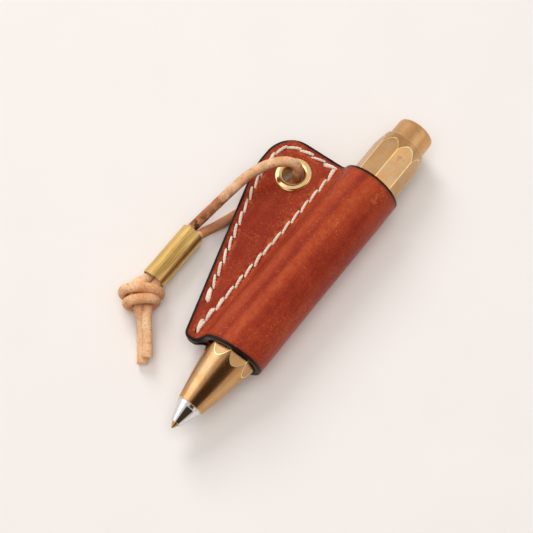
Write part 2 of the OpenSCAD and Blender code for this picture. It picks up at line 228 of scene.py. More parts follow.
def newMaterial(name, constants, maps):
    # constants go straight on the shader's sockets; maps(graph) returns what varies
    material = bpy.data.materials.new(name)
    material.use_nodes = True
    tree = material.node_tree
    shader = tree.nodes["Principled BSDF"]
    for socket, value in constants.items():
        shader.inputs[socket].default_value = value
    graph = Graph(tree)
    for socket, wire in maps(graph).items():
        tree.links.new(wire.socket, shader.inputs[socket])
    return material


def finished(name, mesh, body, slot, material, *replaced):
    piece = bpy.data.objects.new(name, mesh)
    world.objects.link(piece)
    if material and not mesh.materials:
        mesh.materials.append(material)
    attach(piece, body)
    for node in replaced:
        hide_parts(node)
    return piece


def smoothed(mesh):
    mesh.polygons.foreach_set("use_smooth", [True] * len(mesh.polygons))
    mesh.update()
    return mesh


def meshFrom(name, points, faces):
    mesh = bpy.data.meshes.new(name)
    mesh.from_pydata([Vector(point) * mm for point in points], [], faces)
    mesh.validate()
    return smoothed(mesh)


def markPoints(mesh, layers):  # values on the mesh's points, for its material to read
    for label, values in layers.items():
        layer = mesh.attributes.new(label, "FLOAT", "POINT")
        layer.data.foreach_set("value", [float(value) for value in values])


def bakedMesh(piece):  # the mesh with its modifiers applied
    bpy.context.view_layer.update()
    depsgraph = bpy.context.evaluated_depsgraph_get()
    mesh = bpy.data.meshes.new_from_object(piece.evaluated_get(depsgraph))
    bpy.data.objects.remove(piece)
    return mesh


def loose(name, mesh):  # a working object that bakedMesh uses up
    piece = bpy.data.objects.new(name, mesh)
    world.objects.link(piece)
    return piece


def lengthsAlong(points):
    lengths = [0]
    for first, second in zip(points, points[1:]):
        lengths.append(lengths[-1] + (second - first).length)
    return lengths


def evenly(points, count):  # count + 1 even points along a line through the points
    points = [Vector(point) for point in points]
    lengths = lengthsAlong(points)
    even, at = [], 0
    for place in range(count + 1):
        wanted = lengths[-1] * place / count
        while at < len(points) - 2 and lengths[at + 1] < wanted:
            at += 1
        share = (wanted - lengths[at]) / max(lengths[at + 1] - lengths[at], 1e-9)
        even.append(points[at].lerp(points[at + 1], min(share, 1)))
    return even


def smoothPath(points, step):
    # a Catmull-Rom curve through the points, sampled about every step, and its length
    points = [Vector(point) for point in points]
    padded = [2 * points[0] - points[1], *points, 2 * points[-1] - points[-2]]
    dense = []
    for before, start, end, after in zip(padded, padded[1:], padded[2:], padded[3:]):
        knots = [0]
        for first, second in ((before, start), (start, end), (end, after)):
            knots.append(knots[-1] + max((second - first).length, 1e-6) ** 0.5)
        count = max(4, int((end - start).length / step * 3))
        for place in range(count):
            at = knots[1] + (knots[2] - knots[1]) * place / count
            low = [before, start, end, after]
            for level in (1, 2, 3):
                low = [
                    low[k] * ((knots[k + level] - at) / (knots[k + level] - knots[k]))
                    + low[k + 1] * ((at - knots[k]) / (knots[k + level] - knots[k]))
                    for k in range(4 - level)
                ]
            dense.append(low[0])
    dense.append(points[-1])
    length = lengthsAlong(dense)[-1]
    return evenly(dense, round(length / step)), length


def rounded(profile, radius, steps=4):
    # the open profile with its inner corners rounded; a corner is (x, y) or (x, y, radius)
    result = [Vector(profile[0][:2])]
    for before, corner, after in zip(profile, profile[1:], profile[2:]):
        here = Vector(corner[:2])
        wanted = corner[2] if len(corner) > 2 else radius
        back = Vector(before[:2]) - here
        on = Vector(after[:2]) - here
        turn = back.angle(on)
        cut = min(wanted / math.tan(turn / 2), back.length * 0.45, on.length * 0.45)
        if cut < 1e-4 or turn > math.radians(177):
            result.append(here)
            continue
        start, end = here + back.normalized() * cut, here + on.normalized() * cut
        hold = 0.15 * cut  # a point beside each arc keeps the flat's shading flat
        result.append(start + back.normalized() * hold)
        for place in range(steps + 1):
            share = place / steps
            result.append(start.lerp(here, share).lerp(here.lerp(end, share), share))
        result.append(end + on.normalized() * hold)
    result.append(Vector(profile[-1][:2]))
    return result


def turnedMesh(name, profile, place, sides, closed=False):
    # a profile of (radius, height) turned round an axis; place maps (x, y, height) to the row
    points, faces, start = [], [], []
    onAxis = {k for k, point in enumerate(profile) if point[0] < 1e-4}
    for k, (radius, height) in enumerate(profile):
        start.append(len(points))
        for side in range(1 if k in onAxis else sides):
            angle = 2 * math.pi * side / sides
            reach = 0 if k in onAxis else radius
            points.append(place(reach * math.cos(angle), reach * math.sin(angle), height))
    pairs = [(k, k + 1) for k in range(len(profile) - 1)]
    if closed:
        pairs.append((len(profile) - 1, 0))
    for low, high in pairs:
        for side in range(sides):
            on = (side + 1) % sides
            a = [start[low]] if low in onAxis else [start[low] + side, start[low] + on]
            b = [start[high]] if high in onAxis else [start[high] + on, start[high] + side]
            if len(a) + len(b) > 2:
                faces.append(a + b)
    mesh = meshFrom(name, points, faces)
    turnOutwards(mesh)
    return mesh


def turnOutwards(mesh):
    work = bmesh.new()
    work.from_mesh(mesh)
    bmesh.ops.recalc_face_normals(work, faces=work.faces)
    work.to_mesh(mesh)
    work.free()


def alongPen(x, y, height):  # height runs along the pen from its middle
    return (penX + x, height, penZ + y)


cord = {
    "diameter": 2.8,
    "step": 0.4,
    "sides": 22,
    "beadX": -20.1,
    "beadZ": 4.3,
    "gap": 1.45,  # each strand's distance from the bead's axis
    "knotAt": (-19.1, -30.1, 4.72),
    "knotAlong": (0.65, -0.76, 0),
}
eyeMiddle = (-7.9, 23.0, 5.9)
upperRoute = [
    eyeMiddle,
    (-8.0, 23.3, 7.6),
    (-8.1, 23.6, 9.6),
    (-8.7, 23.5, 11.3),
    (-9.8, 23.0, 12.4),
    (-11.2, 22.1, 12.8),
    (-12.8, 20.7, 12.7),
    (-14.3, 18.9, 12.4),
    (-15.7, 16.6, 11.9),
    (-17.2, 12.9, 10.9),
    (-18.3, 8.6, 9.5),
    (-19.2, 4.3, 8.1),
    (-20.0, 0.4, 6.7),
    (-20.7, -2.8, 5.5),
    (-21.2, -5.8, 4.7),
    (-21.5, -8.6, 4.35),
    *[(cord["beadX"] - cord["gap"], y, cord["beadZ"]) for y in (-12, -18, -24.2)],
]
lowerRoute = [
    eyeMiddle,
    (-8.0, 22.9, 4.5),
    (-8.5, 21.8, 3.0),
    (-9.5, 19.8, 1.85),
    (-10.8, 17.0, 1.45),
    (-12.1, 13.6, 1.42),
    (-13.4, 10.0, 1.42),
    (-14.6, 6.8, 1.42),
    (-15.6, 3.8, 1.48),
    (-16.5, 1.0, 1.8),
    (-17.3, -1.9, 2.5),
    (-18.1, -4.6, 3.5),
    (-18.55, -6.7, 4.1),
    *[(cord["beadX"] + cord["gap"], y, cord["beadZ"]) for y in (-9, -18, -24.2)],
]
# in the knot: across, along towards the tails, up from its middle
upperKnot = [
    (1.1, -5.0, 0.5),
    (-0.3, -4.3, 1.3),
    (-1.3, -3.6, 0.9),
    (-1.4, -2.6, -0.6),
    (-0.4, -1.9, -2.3),
    (1.9, -1.4, -3.2),
    (4.2, -1.1, -2.2),
    (4.85, -1.1, 0.2),
    (3.9, -1.4, 2.3),
    (1.5, -1.75, 3.3),
    (-1.5, -2.0, 3.3),
    (-4.0, -2.0, 2.1),
    (-4.85, -1.7, -0.2),
    (-3.9, -1.2, -2.4),
    (-1.8, -0.4, -3.1),
    (-0.7, 1.0, -2.2),
    (-0.8, 2.4, -0.8),
]
lowerKnot = [
    (3.2, -3.1, -0.3),
    (2.1, -1.9, -0.1),
    (1.2, -0.7, -0.3),
    (0.4, 0.4, -1.5),
    (-1.0, 1.0, -2.8),
    (-3.0, 1.3, -2.2),
    (-3.75, 1.35, -0.2),
    (-3.0, 1.3, 1.9),
    (-1.0, 1.2, 3.05),
    (1.2, 1.05, 3.1),
    (3.2, 0.95, 1.9),
    (3.75, 0.9, -0.2),
    (2.9, 1.1, -2.1),
    (1.9, 1.7, -1.9),
    (1.5, 2.7, -0.3),
]
leftTail = [(-15.5, -34.4, 3.4), (-12.5, -37.9, 2.1), (-8.1, -43.3, 1.44)]
rightTail = [(-14.7, -33.2, 5.3), (-11.8, -36.5, 4.6), (-7.7, -41.5, 3.3)]
strands = {
    "upperStrand": {
        "way": (upperRoute, upperKnot, leftTail),
        "nodes": ("cord_upper", "cord_knot"),
        "seed": 3,
        "plump": 1.005,  # times the cord's radius
        "soilAndShade": 0.16,  # least darkening between the eyelet and the bead: dirt, and painted shade on the strand's underside
    },
    "lowerStrand": {
        "way": (lowerRoute, lowerKnot, rightTail),
        "nodes": ("cord_lower", "cord_tails"),
        "seed": 8,
        "plump": 0.975,
        "soilAndShade": 0,
    },
}


def fromKnot(across, along, up):
    middle = Vector(cord["knotAt"])
    onward = Vector(cord["knotAlong"]).normalized()
    side = Vector((-onward.y, onward.x, 0))
    return middle + side * across + onward * along + Vector((0, 0, up))


def cordMaterial():
    def maps(graph):
        run = graph.node("ShaderNodeUVMap", {"uv_map": "run"})
        fibres = graph.node("ShaderNodeMapping", {}, {"Vector": run, "Scale": (26, 260, 1)})
        fibre = graph.noise(fibres, 1.0, 4, 0.6, 0.3)
        place = graph.objectPlace()
        cloud = graph.noise(place, 160, 3, 0.6)
        speck = graph.noise(place, 900, 3, 0.65)
        blot = graph.noise(place, 420, 4, 0.7, 0.4)
        pores = graph.noise(place, 1300, 3, 0.65).between(0.58, 0.68)
        tone = graph.ramp(0.55 * fibre + 0.45 * cloud,
                          (0.36, colour(204, 132, 84)),
                          (0.5, colour(243, 188, 140)),
                          (0.64, colour(255, 228, 188)))
        # painted shade: the cord's side turned from the key light, and its part under the wing,
        # darkened
        shadedSide = (graph.attribute("tan") * (0.55 + 0.5 * cloud)).atMost(0.9)
        # dirt blots, with painted shade where the mark falls on the strand's underside
        stain = (blot.between(0.4, 0.56) * graph.attribute("dirtAndShade") * 1.7).atMost(0.93)
        shade = graph.painted(tone,
                              (shadedSide, colour(172, 88, 38)),
                              (stain, colour(62, 34, 25)),
                              (pores * 0.6, colour(146, 92, 62)),
                              (graph.attribute("cut") * 0.6, colour(236, 200, 168)))
        return {
            "Base Color": shade,
            "Roughness": 0.5 + 0.3 * fibre,
            "Normal": graph.bump(0.7 * fibre + 0.3 * speck, 0.00022, 0.7),
        }
    return newMaterial("cordLeather", {"Specular IOR Level": 0.25}, maps)


def cordSkin(here, outward, run, strand):
    # one point of the strand's skin, and its marks: dirt with painted shade on the underside,
    # fresh cut, and tan, which is painted shade on the side turned from the key light
    seed = strand["seed"]
    wander = noise.noise(Vector((run * 0.35, 0, seed)))
    ripple = noise.noise(here * 0.9 + outward * 1.3 + Vector((seed, 0, 0)))
    fromKnotsHeart = (here - Vector(cord["knotAt"])).length - 1.5
    tight = 0.07 * math.exp(-(fromKnotsHeart / 4) ** 2)
    reach = strand["plump"] + tight + 0.02 * wander + 0.022 * ripple
    soilAndShade = 0
    if strand["soilAndShade"] and here.y > -7.2:
        soilAndShade = math.exp(-((here.y + 4.4) / 2.2) ** 2) + 0.4 * math.exp(-((here.y - 3) / 7) ** 2)
        soilAndShade = max(soilAndShade, strand["soilAndShade"])
    # dirt on the strand, painted darker on its right and under side as shade
    dirtAndShade = soilAndShade * (0.35 + 0.65 * max(0, outward.x * 0.5 - outward.z * 0.2 + 0.5))
    # tan is painted shade: darker on the side turned away from the key light
    tan = max(0, min(1, outward.dot(Vector((0.62, -0.35, -0.7)))))
    if here.y > -6 and (not strand["soilAndShade"] or here.z < 8):
        tan = 0.85 + 0.15 * tan  # painted shade: under the wing and beside it the cord is darker all round
    return here + outward * cord["diameter"] / 2 * reach, (dirtAndShade, 0, tan)


def cordEnd(points, marks, faces, path, end, seed):
    # the knife's cut: a rim, a slightly hollow face and its middle
    sides = cord["sides"]
    inward = (path[-2] - path[-1] if end else path[1] - path[0]).normalized()
    first = (len(path) - 1) * sides if end else 0
    last = range(first, first + sides)
    freshCut = (0, 1, 0)

    def close(*corners):
        faces.append(corners if end else corners[::-1])
    for shrink, sink in ((0.93, -0.05), (0.6, 0.04)):
        ring = range(len(points), len(points) + sides)
        for corner in range(sides):
            spot = points[first + corner]
            rough = noise.noise(spot * 2.3 + Vector((0, 0, seed))) * 0.16
            points.append(path[end].lerp(spot, shrink) + inward * (sink + rough))
            marks.append(freshCut)
        for corner in range(sides):
            on = (corner + 1) % sides
            close(last[corner], last[on], ring[on], ring[corner])
        last = ring
    points.append(path[end] + inward * 0.1)
    marks.append(freshCut)
    for corner in range(sides):
        close(last[corner], last[(corner + 1) % sides], len(points) - 1)


def cordTube(name, path, material, strand):
    sides, rings = cord["sides"], len(path)
    side = (path[1] - path[0]).normalized().orthogonal().normalized()
    points, faces, marks = [], [], []
    runs = lengthsAlong(path)
    for k, here in enumerate(path):
        ahead = (path[min(k + 1, rings - 1)] - path[max(k - 1, 0)]).normalized()
        side = (side - ahead * side.dot(ahead)).normalized()
        up = ahead.cross(side)
        for corner in range(sides):
            angle = 2 * math.pi * corner / sides
            outward = side * math.cos(angle) + up * math.sin(angle)
            point, mark = cordSkin(here, outward, runs[k], strand)
            points.append(point)
            marks.append(mark)
    for k in range(rings - 1):
        low, high = k * sides, (k + 1) * sides
        for corner in range(sides):
            on = (corner + 1) % sides
            faces.append((low + corner, low + on, high + on, high + corner))
    for end in (0, -1):
        cordEnd(points, marks, faces, path, end, strand["seed"])
    mesh = meshFrom(name, points, faces)
    turnOutwards(mesh)
    markPoints(mesh, dict(zip(("dirtAndShade", "cut", "tan"), zip(*marks))))
    layer = mesh.uv_layers.new(name="run")
    for face in mesh.polygons:
        closing = face.index < (rings - 1) * sides and face.index % sides == sides - 1
        for loop in face.loop_indices:
            vertex = mesh.loops[loop].vertex_index
            ring, corner = divmod(min(vertex, rings * sides - 1), sides)
            around = 1 if corner == 0 and closing else corner / sides
            layer.data[loop].uv = (around, runs[ring] * mm * 20)
    mesh.materials.append(material)
    return mesh


def makeCord():
    material = cordMaterial()
    made = []
    for name, strand in strands.items():
        route, knot, tail = strand["way"]
        path, length = smoothPath([*route, *[fromKnot(*place) for place in knot], *tail],
                                  cord["step"])
        mesh = cordTube(name, path, material, strand)
        piece = finished(name, mesh, "cord", "cord_leather", material, *strand["nodes"])
        made.append((piece, path, length))
        print(name, "is", round(length, 1), "mm long")
    return made


def declareCord(made, onIt):
    # the bead is on both strands; each strand's length in metres, its points and the pieces on it
    # (the bead with the first) are worked out here and not used
    for (strand, path, length), pieces in zip(made, ([onIt], [])):
        round(length * mm, 4)
        [tuple(point * mm) for point in path]
        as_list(pieces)


strandsMade = makeCord()
print("cord done")


leather = {
    "thickness": 1.65,
    "tilt": math.radians(8.5),
    "reach": 29.75,
    "top": 32,
    "low": -31.7,
    "corner": 7.85,
    "heel": 2.2,
    "tube": penZ,  # its outer radius: the tube rests on the ground
    "valley": 2.6,
    "bendY": 15.6,
    "slope": 0.3256,
    "edgeSeam": 2.3,  # from the wing's edge to the outer row of holes
    "rimRound": 0.42,
    "innerRound": 0.22,  # the rim's other round, at the glued face or in the tube
    "glueGap": 0.02,  # how far the glued faces stand off the wing's middle
    "eyeCut": 3.5,  # radius of the hole for the eyelet's barrel
    "columns": 44,
    "rows": 150,
}
eyelet = {"u": 19.0, "y": 22.2, "hole": 2.95, "wall": 0.4, "rim": 5.2}
eyeSpot = Vector((eyelet["u"], eyelet["y"]))
half = leather["thickness"] / 2
valleyN = leather["thickness"] + leather["valley"]
valleyU = math.sqrt((leather["tube"] + leather["valley"]) ** 2 - valleyN ** 2)


def inWing(u, y, n):  # u away from the pen, y along it, n up from the wing's middle
    tilt = leather["tilt"]
    x = penX - u * math.cos(tilt) - n * math.sin(tilt)
    z = penZ - u * math.sin(tilt) + n * math.cos(tilt)
    return (x, y, z)


def edgeU(y):
    return leather["reach"] - 0.85 + leather["slope"] * (y - leather["bendY"])


def arcPoints(middle, radius, start, end, count):
    turns = [math.radians(start + (end - start) * k / count) for k in range(count + 1)]
    return [(middle[0] + radius * math.cos(a), middle[1] + radius * math.sin(a)) for a in turns]


def gapTo(point, line):  # from a point to a line through points
    best = 1e9
    for start, end in zip(line, line[1:]):
        run = end - start
        share = max(0, min(1, (point - start).dot(run) / run.dot(run)))
        best = min(best, (point - start - run * share).length)
    return best


farOff = 9  # a gap to the seams that no mark on the leather reaches
skew = math.hypot(1, leather["slope"])
heelY = leather["low"] + leather["heel"]
heelU = edgeU(heelY) - leather["heel"] * skew
heelStart = -math.degrees(math.atan(leather["slope"]))
cornerMiddle = (leather["reach"] - leather["corner"], leather["top"] - leather["corner"])
mouth = [(-9.5, -27.7), (-8.7, -27.8), (0, -28.9), (7.0, -29.6), (8.4, -30.2), (9.6, -31.2),
         (10.4, -31.65), (heelU, leather["low"])]
rowsMeet = (10.35, 30.1)
outerRow = [(edgeU(y) - leather["edgeSeam"] * skew, y) for y in (-20.9, 14.6)]
outerRow += arcPoints(cornerMiddle, leather["corner"] - leather["edgeSeam"], -10, 90, 12)
rows = {"outer": evenly([*outerRow, rowsMeet], 17), "inner": evenly([rowsMeet, (11.4, -29.2)], 15)}


def mouthY(u):  # where the lower edge is cut
    for (startU, startY), (endU, endY) in zip(mouth, mouth[1:]):
        if u <= endU:
            return startY + (endY - startY) * max(0, (u - startU) / (endU - startU))
    return leather["low"]


def wingPatch():  # a grid [row][column] of (u, y) between the valley and the rounded rim
    columns, rowCount, inset = leather["columns"], leather["rows"], leather["rimRound"]
    bend, reach = leather["bendY"], leather["reach"] - inset
    heel = arcPoints((heelU, heelY), leather["heel"] - inset, -90, heelStart, 12)
    corner = arcPoints(cornerMiddle, leather["corner"] - inset, 0, 90, 24)
    bottom = [(valleyU, mouthY(valleyU) + inset), *heel[:7]]
    side = [*heel[6:], (edgeU(bend) - inset * skew, bend)]
    side += [(reach - 0.3, bend + 2.7), (reach - 0.05, bend + 5.2), *corner[:13]]
    top = [(valleyU, leather["top"] - inset), *reversed(corner[12:])]
    bottom, top = evenly(bottom, columns), evenly(top, columns)
    side = evenly(side, rowCount)
    root = evenly([bottom[0], top[0]], rowCount)
    grid = []
    for j in range(rowCount + 1):
        v = j / rowCount
        line = []
        for i in range(columns + 1):
            h = i / columns
            across = root[j] * (1 - h) + side[j] * h
            along = bottom[i] * (1 - v) + top[i] * v
            corners = (bottom[0] * (1 - h) + bottom[-1] * h) * (1 - v)
            corners += (top[0] * (1 - h) + top[-1] * h) * v
            line.append(across + along - corners)
        grid.append(line)
    return grid


def sectionPath():
    # the tube and its two valleys: (u, n) and the outward direction of each column
    radius, tube = leather["valley"] + half, leather["tube"] - half
    turn = math.degrees(math.atan2(valleyN, valleyU))
    columns = []
    for k in range(1, 8):
        angle = math.radians(-90 - (90 - turn) * k / 8)
        way = Vector((math.cos(angle), math.sin(angle)))
        columns.append((Vector((valleyU, valleyN)) + way * radius, -way))
    count = 92
    for k in range(count + 1):
        angle = math.radians(turn + (360 - 2 * turn) * k / count)
        way = Vector((math.cos(angle), math.sin(angle)))
        columns.append((way * tube, way))
    flipped = [(Vector((p.x, -p.y)), Vector((w.x, -w.y))) for p, w in columns[:7]]
    return columns + flipped[::-1]


def leatherPlace(u, y, n, way, offset):
    # a point of the section, moved along its outward direction
    return Vector(inWing(u + way.x * offset, y, n + way.y * offset))


def leatherRelief(u, y, n, seam):
    # how far the worked leather stands off its plain form, in mm
    where = Vector((u, y, n)) * 0.09
    relief = 0.10 * noise.noise(where) + 0.035 * noise.noise(where * 4)
    relief -= 0.2 * math.exp(-(seam / 0.62) ** 2)
    relief += 0.05 * math.exp(-((seam - 1.5) / 0.7) ** 2)
    eye = (Vector((u, y)) - eyeSpot).length
    relief -= 0.14 * math.exp(-((eye - 5.0) / 0.9) ** 2)
    return relief


def leatherGrid():
    # rows of (u, y, n, outward way, side), from the front of the wing's edge round the tube
    # to its back; side is 1 on the wing's front, 0 on the tube and -1 on the wing's back
    section = sectionPath()
    inset, grid = leather["rimRound"], []
    for j, line in enumerate(wingPatch()):
        share = j / leather["rows"]
        row = [(*spot, half, Vector((0, 1)), 1) for spot in reversed(line)]
        for middle, way in section:
            low, high = mouthY(middle.x) + inset, leather["top"] - inset
            row.append((middle.x, low + (high - low) * share, middle.y, way, 0))
        grid.append(row + [(*spot, -half, Vector((0, -1)), -1) for spot in line])
    return grid


def sheetEdge(before, here, after):
    # the way out of the sheet at a point of its edge, and the sheet's upright there
    run = Vector(inWing(*after[:3])) - Vector(inWing(*before[:3]))
    way = Vector(inWing(here[3].x, 0, here[3].y)) - Vector(inWing(0, 0, 0))
    return run.cross(way).normalized(), way.normalized()


def leatherSkin(grid, record, outer):
    # the points of the sheet's outer or inner face
    inset, wingEdge, skin = leather["rimRound"], [Vector(row[0][:2]) for row in grid], []
    for j, row in enumerate(grid):
        skin.append([])
        for i, (u, y, n, way, side) in enumerate(row):
            here = Vector((u, y))
            seamGap = farOff
            if u > 6:
                seamGap = min(gapTo(here, rows["outer"]), gapTo(here, rows["inner"]))
            rimGap = min(leather["top"] - y, y - mouthY(u))
            if side and (i < 14 or i > len(row) - 15 or j < 12):
                rimGap = min(rimGap, gapTo(here, wingEdge) + inset)
            ease = max(0, min(1, (rimGap - inset) / 0.6))
            offset = leather["glueGap"] - half
            if outer:
                offset = half + leatherRelief(u, y, n, seamGap) * ease
            skin[j].append(record(leatherPlace(u, y, n, way, offset), rimGap, seamGap, abs(side)))
    return skin


def cutEye(grid, cells, outer, inner, points, faces):
    # the ragged edge that the left-out cells leave is drawn to a circle and walled
    for j, i in cells:
        corners = [(j, i), (j, i + 1), (j + 1, i + 1), (j + 1, i)]
        beyond = [(j - 1, i), (j, i + 1), (j + 1, i), (j, i - 1)]
        for first, second, neighbour in zip(corners, corners[1:] + corners[:1], beyond):
            if neighbour in cells:
                continue
            wall = []
            for jj, ii in (first, second):
                u, y, n, way = grid[jj][ii][:4]
                u, y = eyeSpot + (Vector((u, y)) - eyeSpot).normalized() * leather["eyeCut"]
                skins = ((outer[jj][ii], half), (inner[jj][ii], leather["glueGap"] - half))
                for point, offset in skins:
                    points[point] = leatherPlace(u, y, n, way, offset)
                    wall.append(point)
            faces.append((wall[0], wall[1], wall[3], wall[2]))


def rimRows(steps):
    # how far each row of the rim stands out of the sheet and up from its middle
    big, small = leather["rimRound"], leather["innerRound"]
    turns = [math.radians(90 * row / steps) for row in range(steps + 1)]
    for turn in turns[1:]:
        yield big * math.sin(turn), half - big * (1 - math.cos(turn))
    for turn in turns[:-1]:
        lift = small - half - small * math.sin(turn) + leather["glueGap"]
        yield big - small * (1 - math.cos(turn)), lift


def makeLeather():
    grid, points, marks, faces = leatherGrid(), [], [], []

    def record(point, *mark):  # mark is its gap to the rim and to the seams, and 1 on the wing
        points.append(point)
        marks.append(mark)
        return len(points) - 1
    outer, inner = (leatherSkin(grid, record, outside) for outside in (True, False))
    width, height = len(grid[0]), len(grid)
    holes = {1: set(), -1: set()}
    for j in range(height - 1):
        for i in range(width - 1):
            middle = (Vector(grid[j][i][:2]) + Vector(grid[j + 1][i + 1][:2])) / 2
            side = grid[j][i][4]
            inEye = (middle - eyeSpot).length < leather["eyeCut"] + 0.05
            if side and side == grid[j][i + 1][4] and inEye:
                holes[side].add((j, i))
                continue
            faces.append((outer[j][i], outer[j + 1][i], outer[j + 1][i + 1], outer[j][i + 1]))
            faces.append((inner[j][i], inner[j][i + 1], inner[j + 1][i + 1], inner[j + 1][i]))
    for cells in holes.values():
        cutEye(grid, cells, outer, inner, points, faces)

    ring = [(0, i) for i in range(width)]
    ring += [(j, width - 1) for j in range(1, height)]
    ring += [(height - 1, i) for i in range(width - 2, -1, -1)]
    ring += [(j, 0) for j in range(height - 2, 0, -1)]
    edge = [grid[j][i] for j, i in ring]
    outs = [sheetEdge(*near) for near in zip(edge[-1:] + edge[:-1], edge, edge[1:] + edge[:1])]
    lines = [[outer[j][i] for j, i in ring]]
    for row, (push, lift) in enumerate(rimRows(5), 1):
        lines.append([])
        for (u, y, n, way, _), (out, up) in zip(edge, outs):
            wander = 0.03 * noise.noise(Vector((u * 0.5, y * 0.5, n)))
            spot = leatherPlace(u, y, n, way, 0) + out * (push + wander) + up * lift
            lines[row].append(record(spot, -row * 0.1, farOff, 1))
    lines.append([inner[j][i] for j, i in ring])
    for low, high in zip(lines, lines[1:]):
        for place in range(len(ring)):
            on = (place + 1) % len(ring)
            faces.append((low[place], low[on], high[on], high[place]))
    for point in points:
        point.z = max(point.z, 0)  # the tube is pressed flat where it lies on the ground
    mesh = meshFrom("leather", points, faces)
    turnOutwards(mesh)
    markPoints(mesh, dict(zip(("rimGap", "seamGap", "wing"), zip(*marks))))
    finished("leather", mesh, "sleeve", "sleeve_leather", leatherMaterial(), "leather_sleeve")
    print("leather has", len(mesh.polygons), "faces")


def tubeSheenAndShade(graph, place):
    # lengthwise bands on the tube, by the angle round the pen in degrees: a painted highlight
    # along the crest and painted shade beside it and in the valley, partly the leather's own
    # pull-up streaks, and a rubbed patch
    x, y, z = graph.fromPen(place)
    angle = z.maths("ARCTAN2", x) * (180 / math.pi) + 0.25 * y
    angle = angle + 16 * (graph.noise(graph.objectPlace((1, 0.4, 1)), 90, 3, 0.6) - 0.5)

    def band(middle, width):
        return 1 - (abs(angle - middle) / width).between(0.15, 1.0)
    onTube = 1 - graph.attribute("wing").between(0.2, 0.8)
    patch = ((x - 3.6) ** 2 + (y - 28) ** 2 + (z - 7.8) ** 2) ** 0.5
    patch = 1 - (patch / 5.5).between(0.3, 1.0)
    specks = graph.noise(graph.objectPlace((1, 0.5, 1)), 900, 3, 0.6).between(0.5, 0.6)
    # painted highlight: a light streak along the crest and one nearer the valley, and the patch's
    # flecks
    highlightAndFlecks = band(92, 13) + 0.55 * band(132, 13) + 1.3 * patch * specks
    # painted shade: bands beside the crest and in the valley
    shadeBands = 0.8 * band(110, 9) + 0.25 * band(63, 22) + 0.7 * band(157, 13)
    return highlightAndFlecks * onTube, shadeBands * onTube


def leatherMaterial():
    def maps(graph):
        place = graph.objectPlace()
        rim = graph.attribute("rimGap")
        seam = graph.attribute("seamGap")
        clouds = graph.noise(place, 95, 4, 0.62, 0.4)
        broad = graph.noise(place, 32, 2, 0.5)
        flecks = graph.noise(place, 620, 3, 0.6)
        streaks = graph.noise(graph.objectPlace((1, 0.07, 1)), 420, 3, 0.6)
        mottle = graph.noise(place, 330, 4, 0.65, 0.3)
        grain = graph.noise(place, 1500, 3, 0.6)
        tone = 0.22 * clouds + 0.22 * broad + 0.2 * streaks + 0.12 * mottle + 0.24 * grain
        highlightAndFlecks, shadeBands = tubeSheenAndShade(graph, place)
        # painted highlight and shade: the tube's bands lighten and darken the tone
        tone = tone.between(0.37, 0.62) + 0.45 * highlightAndFlecks - 0.4 * shadeBands
        worn = (1 - (seam / 2.2)).between(0.0, 1.0) * flecks.between(0.48, 0.62)
        dots = graph.noise(place, 1700, 3, 0.65).between(0.53, 0.7)
        # painted shade in the stitch groove, within half a millimetre of the rows
        grooveShade = (1 - seam / 0.55).between(0.0, 1.0)
        wander = 0.35 * (graph.noise(place, 500, 3, 0.6) - 0.5)
        border = (1 - (rim + wander - 0.75) / 1.1).between(0.0, 1.0)
        edgePaint = (0.95 - rim - wander).between(0.1, 0.32)
        shade = graph.ramp(tone,
                           (0.0, (0.235, 0.018, 0.005)),
                           (0.45, (0.320, 0.031, 0.009)),
                           (1.0, (0.400, 0.052, 0.015)))
        shade = graph.painted(
            shade,
            # painted shade in the tube's dark bands
            (shadeBands * 0.3, (0.15, 0.013, 0.005, 1)),
            (graph.attribute("wing") * 0.3, (0.15, 0.013, 0.005, 1)),
            # orange flecks in the painted highlight streak
            (highlightAndFlecks * flecks.between(0.4, 0.6) * 0.3, (0.56, 0.13, 0.04, 1)),
            (worn * 0.8, (0.60, 0.14, 0.045, 1)),
            (dots * clouds.between(0.35, 0.6) * 0.6, (0.58, 0.16, 0.05, 1)),
            # painted shade in the stitch groove
            (grooveShade * 0.5, (0.15, 0.014, 0.005, 1)),
            (border * 0.45, (0.12, 0.010, 0.004, 1)),
            (edgePaint * 0.98, (0.006, 0.003, 0.002, 1)),
        )
        cells = {"Vector": place, "Scale": 1500.0, "Randomness": 0.9}
        pebbles = graph.node("ShaderNodeTexVoronoi", {"feature": "F1"}, cells)
        fine = graph.noise(place, 2600, 3, 0.6)
        height = 0.55 * pebbles + 0.45 * fine + 0.5 * flecks
        rough = 0.36 + 0.2 * clouds + 0.12 * fine - 0.06 * tone
        return {
            "Base Color": shade,
            "Roughness": rough.between(0.2, 1.0) * 0.55 + 0.22,
            "Normal": graph.bump(height, 0.00009, 0.8),
        }
    return newMaterial("redLeather", {"Specular IOR Level": 0.17}, maps)


makeLeather()
print("leather done")


def newTree(name, inputs):
    # a Geometry Nodes tree with named inputs; keys holds their sockets' identifiers
    tree = bpy.data.node_groups.new(name, "GeometryNodeTree")
    sockets = tree.interface
    for way in ("INPUT", "OUTPUT"):
        sockets.new_socket(name="Geometry", in_out=way, socket_type="NodeSocketGeometry")
    keys = {}
    for label, (kind, value) in inputs.items():
        made = sockets.new_socket(name=label, in_out="INPUT", socket_type="NodeSocket" + kind)
        if value is not None:
            made.default_value = value
        keys[label] = made.identifier
    graph = Graph(tree)
    entry = tree.nodes.new("NodeGroupInput")
    wires = {socket.name: Wire(graph, socket) for socket in entry.outputs if socket.name}
    return graph, wires, keys


def closeTree(graph, geometry, material):
    whole = graph.node("GeometryNodeRealizeInstances", {}, {"Geometry": geometry})
    values = {"Geometry": whole, "Material": material}
    whole = graph.node("GeometryNodeSetMaterial", {}, values)
    leave = graph.tree.nodes.new("NodeGroupOutput")
    graph.tree.links.new(whole.socket, leave.inputs[0])
    return graph.tree


